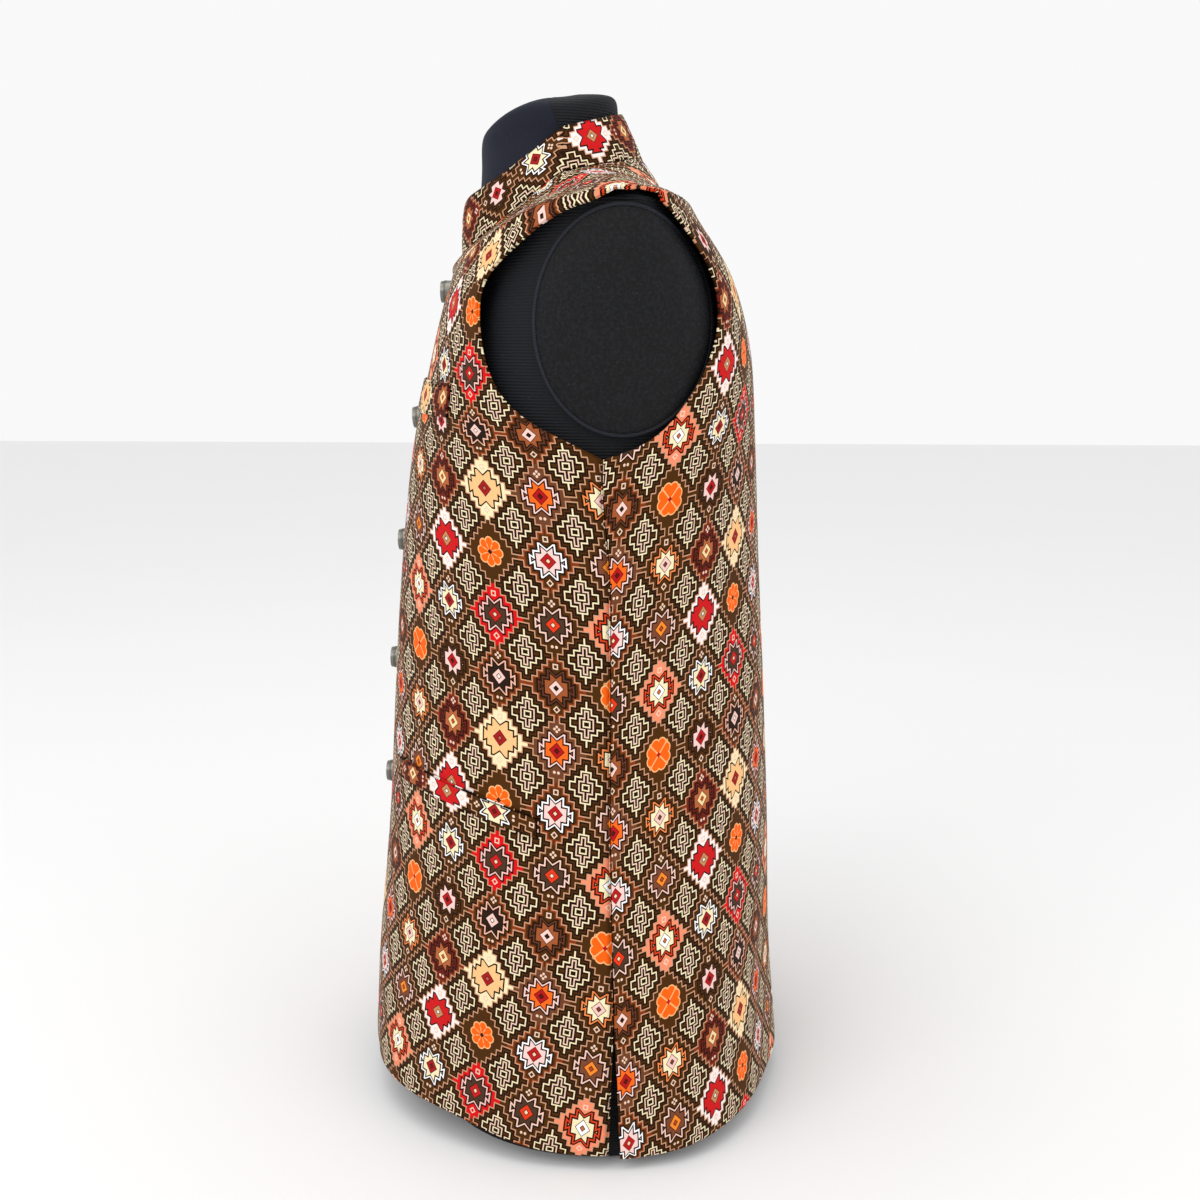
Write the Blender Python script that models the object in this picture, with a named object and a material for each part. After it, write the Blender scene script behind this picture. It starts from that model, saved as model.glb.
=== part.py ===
"""Nehru jacket, buttoned, on the limbless dress form that wears it.

Metres, +Z up. The jacket's front faces -Y and the wearer's left is +X. The origin is the middle of
the form's flat base. Heights in the tables are measured from the jacket's hem.
"""
import math
from collections import namedtuple

import bmesh
import bpy
import numpy as np
from mathutils import Vector
from mathutils.bvhtree import BVHTree

# Driving dimensions
HEM_LIFT = 0.008          # the hem hangs this far above the form's base
BACKWARD = 0.0008         # moves the middle of the whole, buttons included, onto the origin
CLOTH = 0.0020            # outer cloth, canvas and lining together
COLLAR_CLOTH = 0.0030     # the collar is stiffened
WELT_CLOTH = 0.0016
SEAM = 0.0003             # between two pieces that are sewn or pressed together
SEAM_ANGLE = 93.0         # shoulder seams and armholes' ends, in degrees from the centre front
SEAM_SWING = 2.4          # the side seams run further back than that below the armhole
SEAM_SWING_HEIGHT = 0.100  # height over which they swing
LAP = 0.017               # the left front passes the centre line by this much
UNDERLAP = 0.018          # the right front runs on this far below it
LAP_GAP = 0.0008          # between the two where they lie on each other
LAP_START = 0.036         # the right front begins to sink this far from the centre line
LAP_RAMP = 0.016          # and has sunk below the left one after this much more
VENT_HEIGHT = 0.098       # the side seams are open below this height
VENT_GAP = 0.008          # between the vent's two edges, at the hem
HEM_CORNER = 0.070        # radius of the fronts' lower corners
FRONT_HEM = 0.005         # the fronts end this much above the back at the side
FRONT_SWEEP = 0.022       # their hem rises this much from the side to the centre
BACK_SWEEP = 0.016        # and the back's hem rises this much
SWEEP_REACH = 0.9         # a hem has risen where the cosine of the angle is this
HEM_FADE_RINGS = 2.0      # the grid's rows follow the hem's shape over this many rings

# Rings of the jacket's outer face: half width, where its sides lie in y, how far its front and back
# reach, how square its front and back are, and the heights of its front, sides and back
Ring = namedtuple("Ring", "name wide middle front back front_square back_square front_z side_z back_z")
RINGS = (
    Ring("hem",           0.196, 0.020, 0.168, 0.165, 2.20, 2.30, 0.000, 0.000, 0.000),
    Ring("seat",          0.190, 0.020, 0.162, 0.158, 2.20, 2.30, 0.095, 0.095, 0.097),
    Ring("hip",           0.182, 0.018, 0.151, 0.155, 2.20, 2.30, 0.210, 0.210, 0.210),
    Ring("waist",         0.177, 0.018, 0.1435, 0.150, 2.20, 2.40, 0.325, 0.325, 0.325),
    Ring("ribs",          0.179, 0.018, 0.135, 0.144, 2.25, 2.50, 0.420, 0.420, 0.420),
    Ring("armpit",        0.182, 0.020, 0.125, 0.139, 2.25, 2.70, 0.498, 0.500, 0.502),
    Ring("chest",         0.187, 0.026, 0.1125, 0.133, 2.30, 3.30, 0.553, 0.563, 0.571),
    Ring("shoulder_blade", 0.192, 0.034, 0.1020, 0.118, 2.30, 3.60, 0.594, 0.624, 0.618),
    Ring("shoulder_point", 0.190, 0.044, 0.0955, 0.091, 2.30, 2.50, 0.616, 0.671, 0.648),
    Ring("shoulder",      0.151, 0.034, 0.0905, 0.073, 2.20, 2.10, 0.630, 0.683, 0.672),
    Ring("neck_slope",    0.110, 0.018, 0.0870, 0.0640, 2.10, 2.00, 0.640, 0.691, 0.692),
    Ring("neck",          0.074, -0.005, 0.0850, 0.0505, 2.00, 2.00, 0.6495, 0.698, 0.7115),
)
ARMPIT = 5
SHOULDER_POINT = 8
NECK = len(RINGS) - 1

# The armhole's edge, up its front and up its back: height, and degrees from the centre front
Edge = namedtuple("Edge", "height angle")
ARMHOLE_FRONT = (
    Edge(0.500, 93.0), Edge(0.5235, 77.5), Edge(0.5424, 69.5), Edge(0.5700, 63.5), Edge(0.6035, 61.0),
    Edge(0.6210, 63.0), Edge(0.6390, 68.5), Edge(0.6567, 77.0), Edge(0.6674, 86.0), Edge(0.671, 93.0),
)
ARMHOLE_BACK = (
    Edge(0.500, 93.0), Edge(0.508, 100.0), Edge(0.520, 105.5), Edge(0.537, 109.5), Edge(0.559, 113.0),
    Edge(0.583, 115.3), Edge(0.608, 114.5), Edge(0.628, 110.5), Edge(0.648, 103.5), Edge(0.664, 97.0),
    Edge(0.671, 93.0),
)

# The largest folds: where the middle is, its reach either way, its lean and how far it stands out
Fold = namedtuple("Fold", "name angle height spread reach lean rise")
FOLDS = (
    Fold("left waist hollow",    50.0, 0.400, 17.0, 0.110, -60.0, -0.0028),
    Fold("left hip roll",        72.0, 0.200, 12.0, 0.120, -40.0, 0.0022),
    Fold("left armpit drag",     66.0, 0.470, 9.0, 0.040, 160.0, -0.0022),
    Fold("left skirt roll",      34.0, 0.060, 14.0, 0.085, -50.0, 0.0030),
    Fold("left skirt hollow",    60.0, 0.040, 11.0, 0.080, -40.0, -0.0026),
    Fold("left back waist",      122.0, 0.360, 14.0, 0.120, 50.0, -0.0032),
    Fold("left back skirt",      113.0, 0.055, 10.0, 0.090, 30.0, 0.0030),
    Fold("centre back hollow",   176.0, 0.380, 16.0, 0.150, 0.0, -0.0030),
    Fold("back skirt hollow",    148.0, 0.060, 13.0, 0.100, 20.0, -0.0030),
    Fold("right back skirt",     -128.0, 0.060, 13.0, 0.090, -30.0, 0.0028),
    Fold("right back waist",     -125.0, 0.350, 15.0, 0.110, -40.0, -0.0030),
    Fold("right hip roll",       -76.0, 0.190, 13.0, 0.110, 30.0, 0.0024),
    Fold("right waist hollow",   -46.0, 0.390, 16.0, 0.120, 70.0, -0.0026),
    Fold("right armpit drag",    -67.0, 0.468, 9.0, 0.045, -150.0, -0.0020),
    Fold("right skirt roll",     -38.0, 0.055, 14.0, 0.080, 40.0, 0.0028),
)

# Collar: a standing band with rounded front corners
COLLAR_TOP = Ring("collar_top", 0.0625, -0.005, 0.0840, 0.0350, 2.00, 2.00, 0.690, 0.7285, 0.7445)
COLLAR_CORNER = 0.024
COLLAR_SEAM = 0.0009      # its lower edge clears the facets of the panels by this much
COLLAR_PARTING = 0.0012   # the collar's ends stop this far from the centre line
COLLAR_CROWD = 0.055      # how far its columns crowd towards its ends, as a share of its length
COLLAR_LEVELS = (0.0, 0.5, 1.0)

# Pockets: inner and outer end in degrees, lower and upper edge
Welt = namedtuple("Welt", "name inner outer low high tilt")
CHEST_WELT = Welt("chest_welt", 14.0, 53.0, 0.525, 0.549, 0.001)
HIP_WELT_LEFT = Welt("hip_welt_left", 33.0, 79.5, 0.235, 0.2505, 0.009)
HIP_WELT_RIGHT = Welt("hip_welt_right", -33.0, -79.5, 0.235, 0.2505, 0.009)
WELT_ROWS = 2
WELT_COLUMN = 4.5         # degrees between its columns
WELT_LIFT = 0.0005        # a welt lies this far off the smooth front, which its facets need

# Buttons: shank buttons down the centre front
BUTTON_COUNT = 5
BUTTON_TOP = 0.6130
BUTTON_PITCH = 0.0966
# Outline of a button from its shank to the middle of its face: radius, distance from the cloth
BUTTON_OUTLINE = (
    (0.0026, 0.0000), (0.0021, 0.0032), (0.0066, 0.0040), (0.0083, 0.0052), (0.0082, 0.0062),
    (0.0069, 0.0072), (0.0040, 0.0082),
)
BUTTON_FACE = 0.0086
BUTTON_LIFT = 0.0005      # the shank's foot lies this far off the smooth front
BUTTON_SIDES = 16

# Dress form: how far its body lies inside the jacket's outer face at each ring of the jacket
FORM_INSET = (0.0140, 0.0150, 0.0150, 0.0140, 0.0120, 0.0100, 0.0110, 0.0120, 0.0080, 0.0031, 0.0033, 0.0060)
FORM_CHEST_CLEAR = 0.0030  # further in at the front, where the two fronts lie on each other
FORM_TUCK_FRONT = 0.050   # and how much further in it is at the hem, at the front and at the back
FORM_TUCK_BACK = 0.022
FORM_TUCK_RINGS = 2.2     # the tuck fades out over this many rings
FORM_COLUMNS = 48
FORM_FOOT = 0.05          # places of its lowest two rows along the jacket's rings
FORM_LOWEST = 0.12
FORM_ROWS_BODY = 9
FORM_ROWS_CHEST = 9
FORM_ROWS_SHOULDER = 4
BASE_EDGE = 0.004         # rounding of the base's rim
# Neck and cap of the form, above the jacket's neck ring, with the sections of the tables above
NECK_RINGS = (
    Ring("neck_root", 0.0600, -0.018, 0.0740, 0.0345, 2.0, 2.0, 0.674, 0.702, 0.714),
    Ring("neck_middle", 0.0560, -0.020, 0.0720, 0.0310, 2.0, 2.0, 0.702, 0.723, 0.734),
    Ring("neck_top", 0.0550, -0.020, 0.0715, 0.0315, 2.0, 2.0, 0.7235, 0.737, 0.747),
    Ring("cap_edge", 0.0520, -0.020, 0.0670, 0.0295, 2.0, 2.0, 0.7305, 0.7455, 0.756),
    Ring("cap", 0.0400, -0.019, 0.0520, 0.0215, 2.0, 2.0, 0.7365, 0.7510, 0.759),
    Ring("crown", 0.0200, -0.015, 0.0300, 0.0050, 2.0, 2.0, 0.7470, 0.7555, 0.7600),
)
CROWN_HEIGHT = 0.7575

# Padded oval that closes each armhole of the form
PLATE_MIDDLE_Y = 0.036
PLATE_MIDDLE_Z = 0.584
PLATE_HALF_WIDTH = 0.056
PLATE_HALF_HEIGHT = 0.070
PLATE_SEAT = 0.0006       # the corners of its back lie this far off the form's side
PLATE_CLEAR = 0.0007      # and the faces between them at least this far
PLATE_EDGE = 0.0040       # height of its piped rim
PLATE_CROWN = 0.0095      # how far its middle stands out
PLATE_SIDES = 28
PLATE_STEPS = (0.96, 0.82, 0.64, 0.44, 0.22)  # its rings from the rim inwards
PLATE_TESTS = (0.0, 0.25, 0.5, 0.75, 1.0)     # where each of its faces is tested against the form

# Grid of the panels
ROWS_BELOW = 11
ROWS_ARMHOLE = 12
ROWS_ABOVE = 4
FRONT_COLUMNS = 11
LEFT_EDGE_COLUMNS = (-LAP, -0.0055, 0.006)  # x of the columns by the centre edge, then of the first even one
RIGHT_EDGE_COLUMNS = (-UNDERLAP, -0.008, 0.002, 0.011, 0.021)
BACK_COLUMNS = 22
COLLAR_COLUMNS = 44
EDGE_SAMPLES = 200        # along an armhole, to space its rows evenly
LOOK_UP = 400             # along the rings, to find a height
STEP_ANGLE = 0.5          # degrees either way, and places either way, that normals are taken over
STEP_PLACE = 0.02
SMOOTH_BELOW = 40.0       # edges sharper than this many degrees stay sharp


def along(values, place):
    """Value at a place along a row of values, on a smooth curve through all of them."""
    values = np.asarray(values, float)
    place = np.asarray(place, float)
    last = len(values) - 1
    start = np.clip(np.floor(place).astype(int), 0, last - 1)
    part = place - start
    before = values[np.maximum(start - 1, 0)]
    low = values[start]
    high = values[start + 1]
    after = values[np.minimum(start + 2, last)]
    rise_low = (high - before) / 2
    rise_high = (after - low) / 2
    square = part * part
    cube = square * part
    return (
        low * (2 * cube - 3 * square + 1)
        + rise_low * (cube - 2 * square + part)
        + high * (3 * square - 2 * cube)
        + rise_high * (cube - square)
    )


def ring_point(rings, angle, place):
    """Point at an angle, in degrees from the centre front, and a place along a row of rings."""
    turn = np.radians(angle)
    side = np.sin(turn)
    ahead = np.cos(turn)
    size = {name: along([getattr(ring, name) for ring in rings], place) for name in Ring._fields[1:]}
    in_front = ahead > 0
    depth = np.where(in_front, size["front"] + size["middle"], size["back"] - size["middle"])
    square = np.where(in_front, size["front_square"], size["back_square"])
    reach = (np.abs(side / size["wide"]) ** square + np.abs(ahead / depth) ** square) ** (-1 / square)
    end_z = np.where(in_front, size["front_z"], size["back_z"])
    x = reach * side
    y = size["middle"] - reach * ahead
    z = size["side_z"] + (end_z - size["side_z"]) * ahead * ahead
    return np.stack([x, y, z], axis=-1)


def fold_rise(angle, height):
    """How far the folds lift the cloth at an angle and a height."""
    total = np.zeros(np.broadcast(angle, height).shape)
    for fold in FOLDS:
        middle = fold.angle + fold.lean * (height - fold.height)
        off = (angle - middle + 180) % 360 - 180
        total += fold.rise * np.exp(-((off / fold.spread) ** 2) - ((height - fold.height) / fold.reach) ** 2)
    return total


def outward(points):
    """Unit normals of a grid of points whose columns run towards the wearer's left and whose rows run up."""
    across = np.gradient(points, axis=1)
    up = np.gradient(points, axis=0)
    normal = np.cross(across, up)
    return normal / np.linalg.norm(normal, axis=-1, keepdims=True)


def skin_normal(rings, angle, place):
    """Outward normal of a row of rings, from small steps either way."""
    across = ring_point(rings, angle + STEP_ANGLE, place) - ring_point(rings, angle - STEP_ANGLE, place)
    high = np.clip(place + STEP_PLACE, 0, len(rings) - 1)
    low = np.clip(place - STEP_PLACE, 0, len(rings) - 1)
    up = ring_point(rings, angle, high) - ring_point(rings, angle, low)
    normal = np.cross(across, up)
    return normal / np.linalg.norm(normal, axis=-1, keepdims=True)


def cloth_point(angle, place):
    """Point on the jacket's outer face, with its folds."""
    smooth = ring_point(RINGS, angle, place)
    rise = fold_rise(angle, smooth[..., 2])
    return smooth + skin_normal(RINGS, angle, place) * rise[..., None]


def place_at(angle, height):
    """Place along the rings where the jacket has a height, at an angle."""
    places = np.linspace(0, NECK, LOOK_UP)
    heights = ring_point(RINGS, np.full(places.shape, float(angle)), places)[:, 2]
    return float(np.interp(height, heights, places))


def angle_at(x, place):
    """Angle, near the centre front, where the jacket's outer face has an x."""
    angles = np.linspace(-30, 30, LOOK_UP)
    found = ring_point(RINGS, angles, np.full(angles.shape, float(place)))[:, 0]
    return float(np.interp(x, found, angles))


def grid_heights():
    """Places of the panels' rows along the centre front or back."""
    below = np.linspace(0, ARMPIT, ROWS_BELOW + 1)
    beside = np.linspace(ARMPIT, SHOULDER_POINT, ROWS_ARMHOLE + 1)[1:]
    above = np.linspace(SHOULDER_POINT, NECK, ROWS_ABOVE + 1)[1:]
    return np.concatenate([below, beside, above])


def side_edge(armhole, sign):
    """Angle and place of each row's end at the side: side seam, armhole edge, shoulder seam.

    sign is -1 for a front panel, whose vent edge leans forwards, and 1 for the back.
    """
    edge_places = np.array([place_at(edge.angle, edge.height) for edge in armhole])
    edge_places[0] = ARMPIT
    edge_places[-1] = SHOULDER_POINT
    edge_angles = np.array([edge.angle for edge in armhole])
    fine = np.linspace(0, len(armhole) - 1, EDGE_SAMPLES)
    fine_places = along(edge_places, fine)
    fine_angles = along(edge_angles, fine)
    points = ring_point(RINGS, fine_angles, fine_places)
    length = np.concatenate([[0], np.cumsum(np.linalg.norm(np.diff(points, axis=0), axis=1))])
    wanted = np.linspace(0, length[-1], ROWS_ARMHOLE + 1)
    rows = grid_heights()
    places = rows.copy()
    below = RINGS[ARMPIT].side_z - ring_point(RINGS, np.full(rows.shape, SEAM_ANGLE), rows)[:, 2]
    angles = SEAM_ANGLE + SEAM_SWING * eased(np.clip(below / SEAM_SWING_HEIGHT, 0, 1))
    beside = slice(ROWS_BELOW, ROWS_BELOW + ROWS_ARMHOLE + 1)
    angles[beside] = np.interp(wanted, length, fine_angles)
    places[beside] = np.interp(wanted, length, fine_places)
    heights = ring_point(RINGS, angles, places)[:, 2]
    opened = np.clip(1 - heights / VENT_HEIGHT, 0, 1) * VENT_GAP / 2
    degrees = np.degrees((SEAM / 2 + opened) / RINGS[0].wide)
    return angles + sign * degrees, places


def eased(part):
    """Smooth step from 0 to 1."""
    return part * part * (3 - 2 * part)


def hem_place(angle, sweep, lift):
    """Place of a lower edge that rises from the side towards the centre."""
    risen = lift + sweep * eased(np.clip(np.abs(np.cos(np.radians(angle))) / SWEEP_REACH, 0, 1))
    return risen / (RINGS[1].side_z - RINGS[0].side_z)


def corner_place(angle):
    """Further rise of a front's lower edge, which is rounded at the front opening."""
    x = ring_point(RINGS, angle, np.zeros(np.shape(angle)))[..., 0]
    from_edge = np.clip(x + LAP, 0, HEM_CORNER)
    drop = HEM_CORNER - np.sqrt(HEM_CORNER**2 - (HEM_CORNER - from_edge) ** 2)
    return drop / (RINGS[1].side_z - RINGS[0].side_z)


def mesh_object(name, points, faces, material):
    """Adds an object with a closed mesh, its faces turned outwards."""
    mesh = bpy.data.meshes.new(name)
    mesh.from_pydata([tuple(map(float, point)) for point in points], [], [tuple(face) for face in faces])
    work = bmesh.new()
    work.from_mesh(mesh)
    bmesh.ops.recalc_face_normals(work, faces=work.faces)
    work.to_mesh(mesh)
    work.free()
    mesh.shade_smooth()
    mesh.set_sharp_from_angle(angle=math.radians(SMOOTH_BELOW))
    mesh.materials.append(material)
    thing = bpy.data.objects.new(name, mesh)
    thing.location = (0.0, BACKWARD, HEM_LIFT)
    bpy.context.scene.collection.objects.link(thing)
    return thing


def wall(name, outer, inner, material):
    """A closed wall between two grids of points."""
    rows, columns = outer.shape[:2]
    count = rows * columns

    def at(layer, row, column):
        return layer * count + row * columns + column

    faces = []
    for row in range(rows - 1):
        for column in range(columns - 1):
            corners = ((row, column), (row, column + 1), (row + 1, column + 1), (row + 1, column))
            faces.append([at(0, *corner) for corner in corners])
            faces.append([at(1, *corner) for corner in reversed(corners)])
    rim = [(0, column) for column in range(columns)]
    rim += [(row, columns - 1) for row in range(1, rows)]
    rim += [(rows - 1, column) for column in range(columns - 2, -1, -1)]
    rim += [(row, 0) for row in range(rows - 2, 0, -1)]
    for here, following in zip(rim, rim[1:] + rim[:1]):
        faces.append([at(0, *following), at(0, *here), at(1, *here), at(1, *following)])
    points = np.concatenate([outer.reshape(-1, 3), inner.reshape(-1, 3)])
    return mesh_object(name, points, faces, material)


def front_grid(sign):
    """Outer points and normals of a front, columns towards the wearer's left; sign is 1 for the left."""
    rows = grid_heights()
    side_angles, side_places = side_edge(ARMHOLE_FRONT, -1)
    lines = []
    for row, side_angle, side_place in zip(rows, side_angles, side_places):
        near = LEFT_EDGE_COLUMNS if sign > 0 else RIGHT_EDGE_COLUMNS
        starts = [angle_at(x, row) for x in near[:-1]]
        rest = np.linspace(angle_at(near[-1], row), side_angle, FRONT_COLUMNS + 1)
        angles = np.concatenate([starts, rest])
        part = np.clip((angles - rest[0]) / (rest[-1] - rest[0]), 0, 1)
        places = row + (side_place - row) * eased(part)
        rise = hem_place(angles, FRONT_SWEEP, FRONT_HEM) + corner_place(angles)
        places = places + rise * np.clip(1 - places / HEM_FADE_RINGS, 0, 1)
        lines.append((sign * angles, places))
    angles = np.array([line[0] for line in lines])
    places = np.array([line[1] for line in lines])
    points = cloth_point(angles, places)
    normals = skin_normal(RINGS, angles, places)
    if sign < 0:
        sunk = (CLOTH + LAP_GAP) * eased(np.clip((LAP_START + points[..., 0]) / LAP_RAMP, 0, 1))
        points = (points - normals * sunk[..., None])[:, ::-1]
        normals = normals[:, ::-1]
    return points, normals


def back_grid():
    """Outer points and normals of the back, from the wearer's left side seam to the right one."""
    rows = grid_heights()
    side_angles, side_places = side_edge(ARMHOLE_BACK, 1)
    angles = []
    places = []
    for row, side_angle, side_place in zip(rows, side_angles, side_places):
        part = np.linspace(-1, 1, BACK_COLUMNS + 1)
        line = 180 + part * (180 - side_angle)
        place = row + (side_place - row) * eased(np.abs(part))
        angles.append(line)
        fade = np.clip(1 - place / HEM_FADE_RINGS, 0, 1)
        places.append(place + hem_place(line, BACK_SWEEP, 0.0) * fade)
    angles = np.array(angles)
    places = np.array(places)
    return cloth_point(angles, places), skin_normal(RINGS, angles, places)


def add_panels(cloth):
    """The two fronts and the back."""
    for name, (points, normals) in (
        ("front_left", front_grid(1)),
        ("front_right", front_grid(-1)),
        ("back", back_grid()),
    ):
        wall(name, points, points - normals * CLOTH, cloth)


def add_collar(cloth):
    """Standing band round the neck, open at the front with rounded corners."""
    rings = (RINGS[NECK], COLLAR_TOP)
    ends = [angle_at(COLLAR_PARTING, NECK), 360 - angle_at(COLLAR_PARTING, NECK)]
    spread = np.linspace(0, 1, COLLAR_COLUMNS + 1)
    spread = spread - COLLAR_CROWD * np.sin(2 * math.pi * spread)
    angles = ends[0] + (ends[1] - ends[0]) * spread
    bottom = ring_point(rings, angles, np.zeros(angles.shape))
    top = ring_point(rings, angles, np.ones(angles.shape))
    tall = np.linalg.norm(top - bottom, axis=1)
    run = np.concatenate([[0], np.cumsum(np.linalg.norm(np.diff(bottom, axis=0), axis=1))])
    from_end = np.minimum(run, run[-1] - run)
    near = np.clip(COLLAR_CORNER - from_end, 0, COLLAR_CORNER)
    cut = COLLAR_CORNER - np.sqrt(COLLAR_CORNER**2 - near**2)
    lines = []
    for level in COLLAR_LEVELS:
        share = (COLLAR_SEAM + (tall - COLLAR_SEAM - cut) * level) / tall
        lines.append(bottom + (top - bottom) * share[:, None])
    outer = np.array(lines)
    inner = outer - outward(outer) * COLLAR_CLOTH
    inner[0, :, 2] = np.maximum(inner[0, :, 2], outer[0, :, 2])
    wall("collar", outer, inner, cloth)


def add_welt(welt, cloth):
    """Welt of a pocket: a strip that lies on its front, made from the front's points moved out."""
    columns = int(abs(welt.outer - welt.inner) / WELT_COLUMN)
    angles = np.linspace(welt.inner, welt.outer, columns + 1)
    lines = []
    for level in np.linspace(0, 1, WELT_ROWS + 1):
        tilt = np.linspace(welt.tilt, 0, columns + 1)
        height = welt.low + (welt.high - welt.low) * level + tilt
        lines.append([place_at(angle, tall) for angle, tall in zip(angles, height)])
    places = np.array(lines)
    grid_angles = np.broadcast_to(angles, places.shape)
    points = cloth_point(grid_angles, places)
    normal = skin_normal(RINGS, grid_angles, places)
    outer = points + normal * (WELT_LIFT + WELT_CLOTH)
    inner = points + normal * WELT_LIFT
    if welt.outer < welt.inner:
        outer = outer[:, ::-1]
        inner = inner[:, ::-1]
    wall(welt.name, outer, inner, cloth)


def add_buttons(metal):
    """Metal shank buttons, turned about the cloth's normal at the centre front."""
    for number in range(BUTTON_COUNT):
        height = BUTTON_TOP - BUTTON_PITCH * number
        place = np.array(place_at(0.0, height))
        seat = cloth_point(np.array(0.0), place)
        normal = skin_normal(RINGS, np.array(0.0), place)
        normal[0] = 0
        normal /= np.linalg.norm(normal)
        right = np.array([1.0, 0.0, 0.0])
        up = np.cross(normal, right)
        points = []
        for radius, out in BUTTON_OUTLINE:
            for side in range(BUTTON_SIDES):
                turn = 2 * math.pi * side / BUTTON_SIDES
                flat = right * math.cos(turn) * radius + up * math.sin(turn) * radius
                points.append(seat + flat + normal * (out + BUTTON_LIFT))
        points.append(seat + normal * (BUTTON_FACE + BUTTON_LIFT))
        faces = [list(range(BUTTON_SIDES))]
        for ring in range(len(BUTTON_OUTLINE) - 1):
            for side in range(BUTTON_SIDES):
                following = (side + 1) % BUTTON_SIDES
                low = ring * BUTTON_SIDES
                high = low + BUTTON_SIDES
                faces.append([low + side, low + following, high + following, high + side])
        top = (len(BUTTON_OUTLINE) - 1) * BUTTON_SIDES
        for side in range(BUTTON_SIDES):
            faces.append([top + side, top + (side + 1) % BUTTON_SIDES, len(points) - 1])
        mesh_object(f"button_{number + 1}", points, faces, metal)


def form_point(angle, place):
    """Point on the dress form's body inside the jacket."""
    ahead = np.cos(np.radians(angle))
    tuck = np.where(ahead > 0, FORM_TUCK_FRONT, FORM_TUCK_BACK) * ahead * ahead
    inset = along(FORM_INSET, place) + tuck * eased(np.clip(1 - place / FORM_TUCK_RINGS, 0, 1))
    inset = inset + FORM_CHEST_CLEAR * eased(np.clip(ahead, 0, 1))
    return ring_point(RINGS, angle, place) - skin_normal(RINGS, angle, place) * inset[..., None]


def add_form(jersey):
    """Torso, neck and cap of the dress form as one closed body on a flat base."""
    angles = np.linspace(0, 360, FORM_COLUMNS, endpoint=False)
    rows = np.concatenate([
        np.linspace(FORM_LOWEST, ARMPIT, FORM_ROWS_BODY + 1),
        np.linspace(ARMPIT, SHOULDER_POINT, FORM_ROWS_CHEST + 1)[1:],
        np.linspace(SHOULDER_POINT, NECK, FORM_ROWS_SHOULDER + 1)[1:],
    ])
    lines = [form_point(angles, np.full(angles.shape, row)) for row in rows]
    foot = form_point(angles, np.full(angles.shape, FORM_FOOT))
    rim = foot.copy()
    rim[:, 2] = BASE_EDGE - HEM_LIFT
    middle = np.array([0.0, RINGS[0].middle, 0.0])
    base = middle + (foot - middle) * (1 - BASE_EDGE / RINGS[0].wide)
    base[:, 2] = -HEM_LIFT
    lines = [base, rim] + lines
    for step in range(len(NECK_RINGS)):
        lines.append(ring_point(NECK_RINGS, angles, np.full(angles.shape, float(step))))
    points = np.concatenate(lines + [[[0.0, NECK_RINGS[-1].middle, CROWN_HEIGHT]]])
    faces = [list(range(FORM_COLUMNS))]
    for row in range(len(lines) - 1):
        for column in range(FORM_COLUMNS):
            following = (column + 1) % FORM_COLUMNS
            low = row * FORM_COLUMNS
            high = low + FORM_COLUMNS
            faces.append([low + column, low + following, high + following, high + column])
    top = (len(lines) - 1) * FORM_COLUMNS
    for column in range(FORM_COLUMNS):
        faces.append([top + column, top + (column + 1) % FORM_COLUMNS, len(points) - 1])
    mesh_object("dress_form", points, faces, jersey)


def form_side(tree, y, z):
    """Half width of the form at each y and z, found by looking in from both sides."""
    start_x = 2 * RINGS[0].wide
    look = Vector((-1.0, 0.0, 0.0))
    left = [tree.ray_cast(Vector((start_x, *place)), look)[0].x for place in zip(y, z)]
    right = [-tree.ray_cast(Vector((-start_x, *place)), -look)[0].x for place in zip(y, z)]
    return np.maximum(left, right)


def lift_clear(tree, layers):
    """Moves the rings of a plate's back out, until none of its faces cuts into the form."""
    for low, high in zip(layers, layers[1:]):
        for side in range(PLATE_SIDES):
            following = (side + 1) % PLATE_SIDES
            corners = (low[side], low[following], high[following], high[side])
            short = 0.0
            for across in PLATE_TESTS:
                for up in PLATE_TESTS:
                    lower = corners[0] * (1 - across) + corners[1] * across
                    upper = corners[3] * (1 - across) + corners[2] * across
                    point = lower * (1 - up) + upper * up
                    short = max(short, form_side(tree, [point[1]], [point[2]])[0] + PLATE_CLEAR - point[0])
            for corner in corners:
                corner[0] += short


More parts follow.
